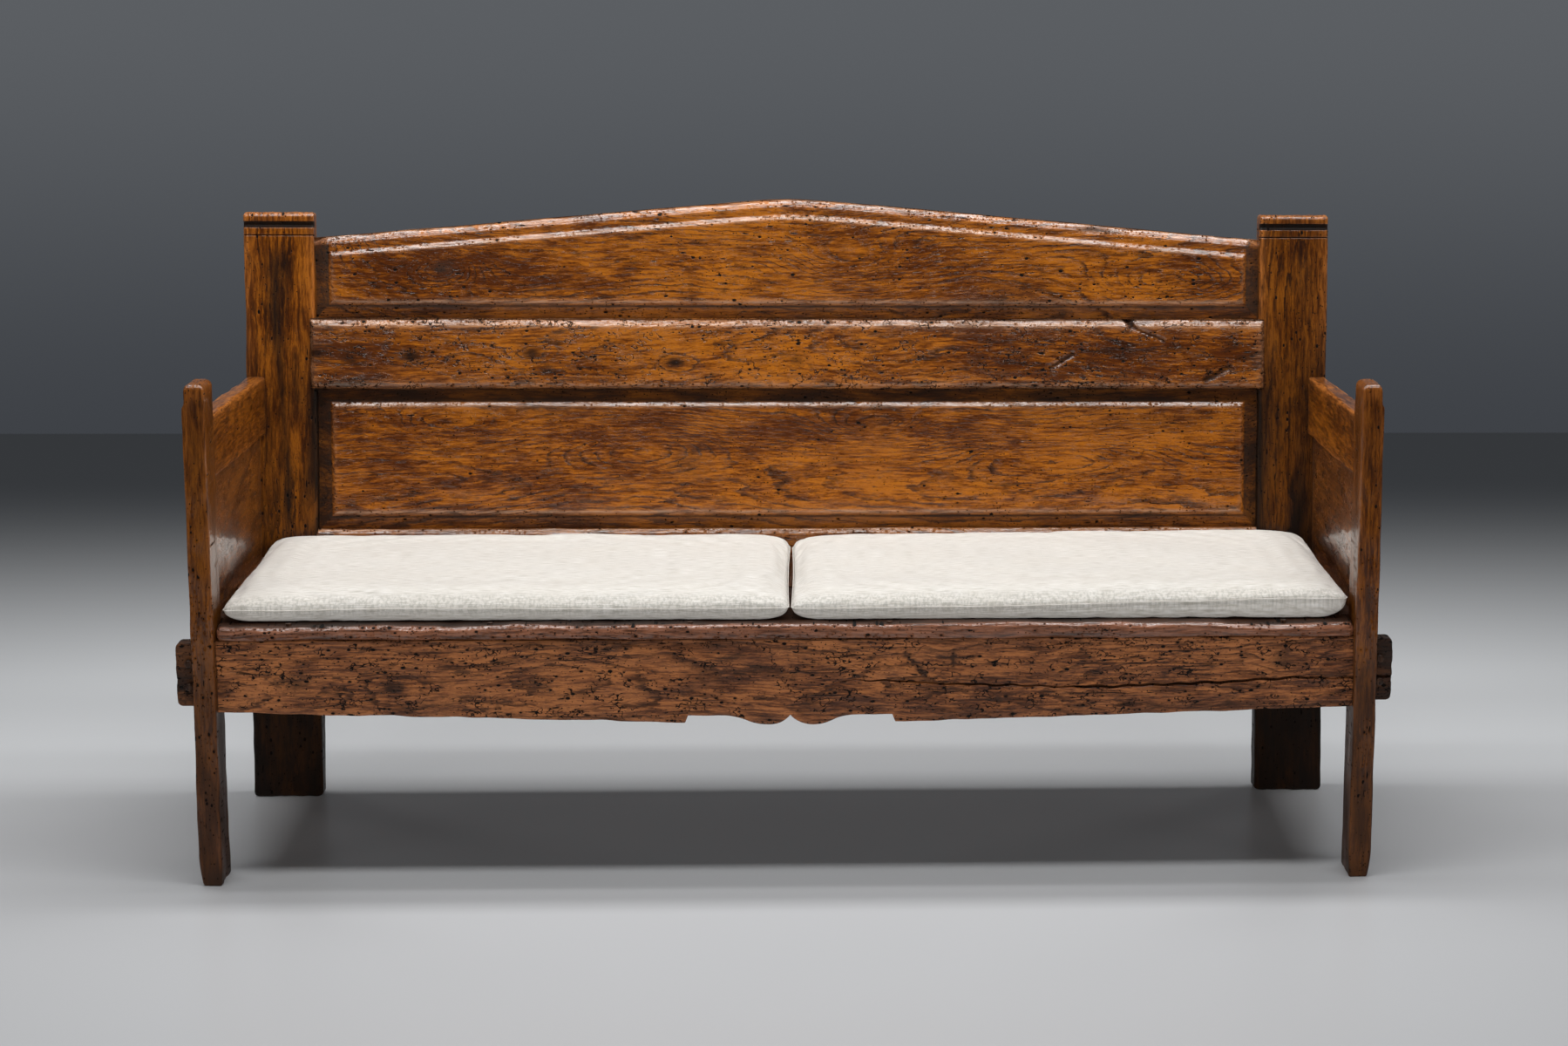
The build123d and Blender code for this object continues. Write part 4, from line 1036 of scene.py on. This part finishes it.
def cushionMesh(side):
    # two sheets over the same plan: height = seam +- depth * swell across * swell along
    half = (cushion["outside"] - cushion["gap"]) / 2
    middle = cushion["gap"] + half
    s = crowded(cushion["columns"], cushion["crowding"][0])
    t = crowded(cushion["rows"], cushion["crowding"][1])
    s, t = np.meshgrid(s, t, indexing="ij")
    pullY, pullX = cushion["pull"]
    x = half * s * (1 - pullX / half * (1 - t * t))
    reach = half * (1 - np.abs(s))
    front = cushion["front"] + cornerInset(reach, cushion["corners"][0]) + pullY * (1 - s * s)
    back = cushion["back"] - cornerInset(reach, cushion["corners"][1]) - pullY * (1 - s * s)
    y = front + (t + 1) / 2 * (back - front)
    nearY = np.minimum(y - front, back - y)
    # the right one lies a little fuller below its seam towards the arm
    lift = cushion["rise"] * smooth(s, -0.6, 0.9) if side > 0 else 0 * s
    seam = cushion["seam"] + lift
    crown = swell(reach, cushion["topEdge"]) * swell(nearY, cushion["topEdge"])
    belly = swell(reach, cushion["endEdge"], 2) * swell(nearY, cushion["lowEdge"], 4)
    top = seam + (cushion["crown"] - 0.6 * lift) * crown
    low = seam - (cushion["belly"] + lift) * belly
    ids = np.arange(s.size).reshape(s.shape)
    lowIds = ids.copy()
    inner = (s.shape[0] - 2, s.shape[1] - 2)
    lowIds[1:-1, 1:-1] = s.size + np.arange(inner[0] * inner[1]).reshape(inner)
    faces = np.concatenate([quads(ids), quads(lowIds)[:, ::-1]])
    plan = np.stack([side * (middle + x), y], -1)
    upper = np.concatenate([plan, top[..., None]], -1).reshape(-1, 3)
    under = np.concatenate([plan, low[..., None]], -1)[1:-1, 1:-1].reshape(-1, 3)
    points = np.concatenate([upper, under])
    ring = np.concatenate([ids[:-1, 0], ids[-1, :-1], ids[:0:-1, -1], ids[0, :0:-1]])
    toSeam = np.minimum(reach, nearY)
    toSeam = np.concatenate([toSeam.ravel(), toSeam[1:-1, 1:-1].ravel()])
    isTop = np.arange(len(points)) < s.size
    return points, faces[:, ::side], ring, toSeam, isTop


def inflate(points, faces, ring):
    # cloth under air pressure, its seam pinned and its fabric a little too large, so that it puckers
    mesh = bpy.data.meshes.new("inflate")
    mesh.from_pydata(points.tolist(), [], faces.tolist())
    bag = newObject("inflate", mesh)
    bag.vertex_groups.new(name="seam").add(np.sort(ring).tolist(), 1.0, "REPLACE")
    cloth = bag.modifiers.new("fill", "CLOTH")
    for key, value in filling.items():
        setattr(cloth.settings, key, value)
    cloth.settings.effector_weights.gravity = 0
    cloth.collision_settings.use_collision = False
    scene.frame_start, scene.frame_end = 1, cushion["frames"]
    for number in range(1, cushion["frames"] + 1):
        scene.frame_set(number)
    ready = bag.evaluated_get(bpy.context.evaluated_depsgraph_get())
    moved = np.empty(len(points) * 3, np.float32)
    ready.data.vertices.foreach_get("co", moved)
    scene.frame_set(1)
    bpy.data.objects.remove(bag)
    bpy.data.meshes.remove(mesh)
    return moved.reshape(-1, 3).astype(float)


ribStep = 0.0026
pickStep = 0.0017


def clothFinish():
    # ribs run along the bench; slubs, and a greyer band of painted pucker shade along the front seam
    material, tree = newFinish("creamRib")
    weave = put(tree, "UVMap", uv_map="weave").outputs[0]
    axes = parts(weave)
    crease = put(tree, "Attribute", attribute_name="crease").outputs["Fac"]
    wobble = times(noise(weave, (9.0, 30.0, 1.0), 2.0), 0.0016)
    across = plus(axes[1], wobble)
    rib = calc("SINE", times(across, 2 * math.pi / ribStep))
    pick = calc("SINE", times(axes[0], 2 * math.pi / pickStep))
    slub = noise(weave, (38.0, 620.0, 1.0), 3.0, 0.6)
    cloud = noise(weave, (7.0, 9.0, 1.0), 3.0)
    stops = [(0.34, colour(186, 181, 172)), (0.50, colour(212, 208, 201)), (0.66, colour(226, 223, 218))]
    shade = ramp(slub, stops)
    shade = mixed(between(rib, -1.0, 0.2, 0.08, 0.0), shade, colour(180, 172, 158))
    shade = mixed(between(cloud, 0.35, 0.7, 0.0, 0.10), shade, colour(208, 198, 182))
    # painted shade of small puckers, mottled along the front band
    mottle = between(noise(weave, (210.0, 120.0, 1.0), 3.0, 0.6), 0.44, 0.60)
    grey = times(times(crease, mottle), 0.5)
    shade = mixed(grey, shade, colour(160, 158, 148))
    height = scaleAdd(rib, 0.28, times(pick, 0.10))
    height = scaleAdd(slub, 0.9, height)
    bump = put(tree, "Bump", {"Strength": 0.55, "Distance": 0.0004, "Height": height}).outputs[0]
    coat(tree, {"Base Color": shade, "Normal": bump, "Roughness": 0.9, "Specular IOR Level": 0.2,
                "Sheen Weight": 0.15, "Sheen Roughness": 0.5})
    return material


def lay(mesh, faces, flat):
    # the cloth's own map: one flat place per point, written at every corner of the faces
    layer = mesh.uv_layers.new(name="weave")
    layer.data.foreach_set("uv", flat[faces.ravel()].astype(np.float32).ravel())


ridge = {"radius": 0.0008, "sides": 8, "weave": 0.8}


def seamRidge(name, path, body, finish):
    # thin sewn ridge: a small circle carried round the closed seam, in the plane across its path
    ahead = np.roll(path, -1, 0) - np.roll(path, 1, 0)
    outward = np.cross(ahead / np.linalg.norm(ahead, axis=1, keepdims=True), (0, 0, 1.0))
    outward /= np.linalg.norm(outward, axis=1, keepdims=True)
    count = ridge["sides"]
    angle = np.linspace(0, 2 * np.pi, count, endpoint=False)[None, :, None]
    offset = np.cos(angle) * outward[:, None] + np.sin(angle) * np.array((0, 0, 1.0))
    points = (path[:, None] + ridge["radius"] * offset).reshape(-1, 3)
    i, j = np.meshgrid(np.arange(len(path)), np.arange(count), indexing="ij")
    nextI, nextJ = (i + 1) % len(path), (j + 1) % count
    corners = [i * count + j, nextI * count + j, nextI * count + nextJ, i * count + nextJ]
    faces = np.stack(corners, -1).reshape(-1, 4)
    mesh = newMesh(name, points, faces, finish)
    lay(mesh, faces, points[:, :2] * ridge["weave"])
    cord = newObject(name, mesh)
    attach(cord, body)


creamRib = clothFinish()
for word, side, seed in (("left", -1, 5), ("right", 1, 6)):
    points, faces, ring, toSeam, isTop = cushionMesh(side)
    rest = points.copy()
    aside, down, up = cushion["cap"]
    moved = inflate(points, faces, ring) - points
    points = points + np.clip(moved, (-aside, -aside, -down), (aside, aside, up))
    line = points * (1, 1, 0)
    gather = np.exp(-toSeam / cushion["puckerReach"]) * smooth(toSeam, 0.0, 0.004)
    pucker = cushion["pucker"] * gather * ripples(line, cushion["puckerStep"], seed)
    points[:, 2] += np.where(isTop, 1, -0.4) * pucker
    points[:, 2] += np.where(isTop, cushion["dent"], 0) * ripples(line, cushion["dentStep"], seed + 40)
    points[:, 2] = np.maximum(points[:, 2], cushion["rest"])
    name = word + "Cushion"
    mesh = newMesh(name, points, faces, creamRib)
    # the weave follows the cover: along the bench, and over the edge by its own length
    toward = np.where(rest[:, 1] < 0, 1, -1) * np.where(isTop, -1, 1)
    over = rest[:, 1] - toward * cushion["fold"] * (rest[:, 2] - cushion["seam"])
    lay(mesh, faces, np.stack([rest[:, 0], over], 1))
    mark(mesh, "crease", smooth(rest[:, 1] - cushion["front"], *cushion["crease"]) * isTop)
    pad = newObject(name, mesh)
    soften = pad.modifiers.new("soften", "SUBSURF")
    soften.levels = soften.render_levels = 1
    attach(pad, word + "_cushion")
    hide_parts(word + "_cushion")
    seamRidge(word + "CushionSeam", points[ring], word + "_cushion", creamRib)
    print("settle:", name, "sewn and filled")

# pale floor, soft studio light and the camera
stage = {"floor": colour(200, 201, 203), "pool": colour(226, 228, 230), "far": colour(58, 61, 65),
         "half": 6.5, "ends": (-6.0, 4.15), "brighten": (0.0, 0.6), "fade": (0.9, 3.4), "round": (2.3, 4.2),
         "ambient": 0.02, "wall": (colour(62, 65, 70), colour(92, 95, 99)), "wallRise": (-0.17, -0.02),
         "hall": colour(50, 52, 56), "hallTurn": (0.2, -0.2), "high": 2.9, "long": 3.8,
         "strips": ((-0.95, 0.42, 47.0), (-0.05, 0.14, 18.0), (0.50, 0.45, 54.0)),  # place, width and power
         "fills": ((0.0, -8.0, 205.0), (-6.5, -5.5, 42.0), (6.5, -5.5, 42.0), (-6.5, 5.5, 76.0),
                   (6.5, 5.5, 76.0)),  # place and power
         "fillHigh": 1.0, "fillAim": 0.6, "fillSize": (2.4, 1.0)}


def floorFinish():
    # pale round the bench with a painted pool of light behind it, and a painted falloff of light to the tone
    # of the wall behind it and in front of it
    material, tree = newFinish("paleFloor")
    place = put(tree, "TexCoord").outputs["Object"]
    behind = parts(place)[1]
    about = vector("LENGTH", vector("MULTIPLY", place, (0.8, 1.0, 0.0)))
    # painted falloff of light: darker with distance behind and around the bench
    away = larger(between(behind, *stage["fade"]), between(about, *stage["round"]))
    # painted pool of light just behind the bench
    shade = mixed(between(behind, *stage["brighten"]), stage["floor"], stage["pool"])
    shade = mixed(away, shade, stage["far"])
    coat(tree, {"Base Color": shade, "Roughness": 0.3, "Specular IOR Level": 0.35})
    return material


floorMesh = bpy.data.meshes.new("floor")
wide, (near, distant) = stage["half"], stage["ends"]
corners = [(-wide, near, 0), (wide, near, 0), (wide, distant, 0), (-wide, distant, 0)]
floorMesh.from_pydata(corners, [], [(0, 1, 2, 3)])
floorMesh.materials.append(floorFinish())
floor = newObject("floor", floorMesh)

# seen or mirrored, the surroundings are a grey wall and a darker hall; they light the bench only faintly
world = bpy.data.worlds.new("studio")
scene.world = world
world.use_nodes = True
tree = world.node_tree
tree.nodes.clear()
rays = put(tree, "LightPath").outputs
seen = plus(rays["Is Camera Ray"], rays["Is Transmission Ray"])
seen = plus(seen, rays["Is Glossy Ray"])
ambient = put(tree, "Background", {"Color": (1.0, 1.0, 1.0, 1.0), "Strength": stage["ambient"]})
toward = parts(put(tree, "TexCoord").outputs["Generated"])
wall = mixed(between(toward[2], *stage["wallRise"]), *stage["wall"])
wall = mixed(between(toward[1], *stage["hallTurn"]), wall, stage["hall"])
wall = put(tree, "Background", {"Color": wall, "Strength": 1.0})
both = put(tree, "MixShader", {0: seen, 1: ambient.outputs[0], 2: wall.outputs[0]})
put(tree, "OutputWorld", {"Surface": both.outputs[0]})


def softbox(name, place, aim, size, power):
    # rectangular area lamp at a place, turned to its aim
    lamp = bpy.data.lights.new(name, "AREA")
    lamp.shape = "RECTANGLE"
    lamp.size, lamp.size_y = size
    lamp.energy = power
    box = newObject(name, lamp)
    box.location = place
    box.rotation_euler = (Vector(aim) - Vector(place)).to_track_quat("-Z", "Y").to_euler()
    return box


for number, (y, deep, power) in enumerate(stage["strips"]):
    softbox("strip%d" % number, (0.0, y, stage["high"]), (0.0, y, 0.0), (stage["long"], deep), power)
for number, (x, y, power) in enumerate(stage["fills"]):
    place, aim = (x, y, stage["fillHigh"]), (0.0, 0.0, stage["fillAim"])
    fill = softbox("fill%d" % number, place, aim, stage["fillSize"], power)
    fill.visible_glossy = False  # low lamps light the faces and leave no haze on the wax

shot = {"place": (0.0282, -5.4466, 1.5810), "yaw": -3.193, "pitch": 10.918, "roll": 0.477, "lens": 74.99,
        "shift": -0.1290}
yaw, pitch, roll = (math.radians(shot[key]) for key in ("yaw", "pitch", "roll"))
right = np.array((math.cos(yaw), math.sin(yaw), 0.0))
level = np.array((-math.sin(yaw), math.cos(yaw), 0.0))
plumb = np.array((0.0, 0.0, 1.0))
ahead = level * math.cos(pitch) - plumb * math.sin(pitch)
above = level * math.sin(pitch) + plumb * math.cos(pitch)
turned = right * math.cos(roll) + above * math.sin(roll), above * math.cos(roll) - right * math.sin(roll)
lens = bpy.data.cameras.new("photoAngle")
lens.sensor_width = 36.0
lens.lens = shot["lens"]
lens.shift_x = shot["shift"]
camera = newObject("photoAngle", lens)
camera.rotation_euler = Matrix(np.stack([*turned, -ahead], 1).tolist()).to_euler()
camera.location = shot["place"]
scene.camera = camera
scene.view_settings.view_transform = "Standard"
print("settle: stage set")
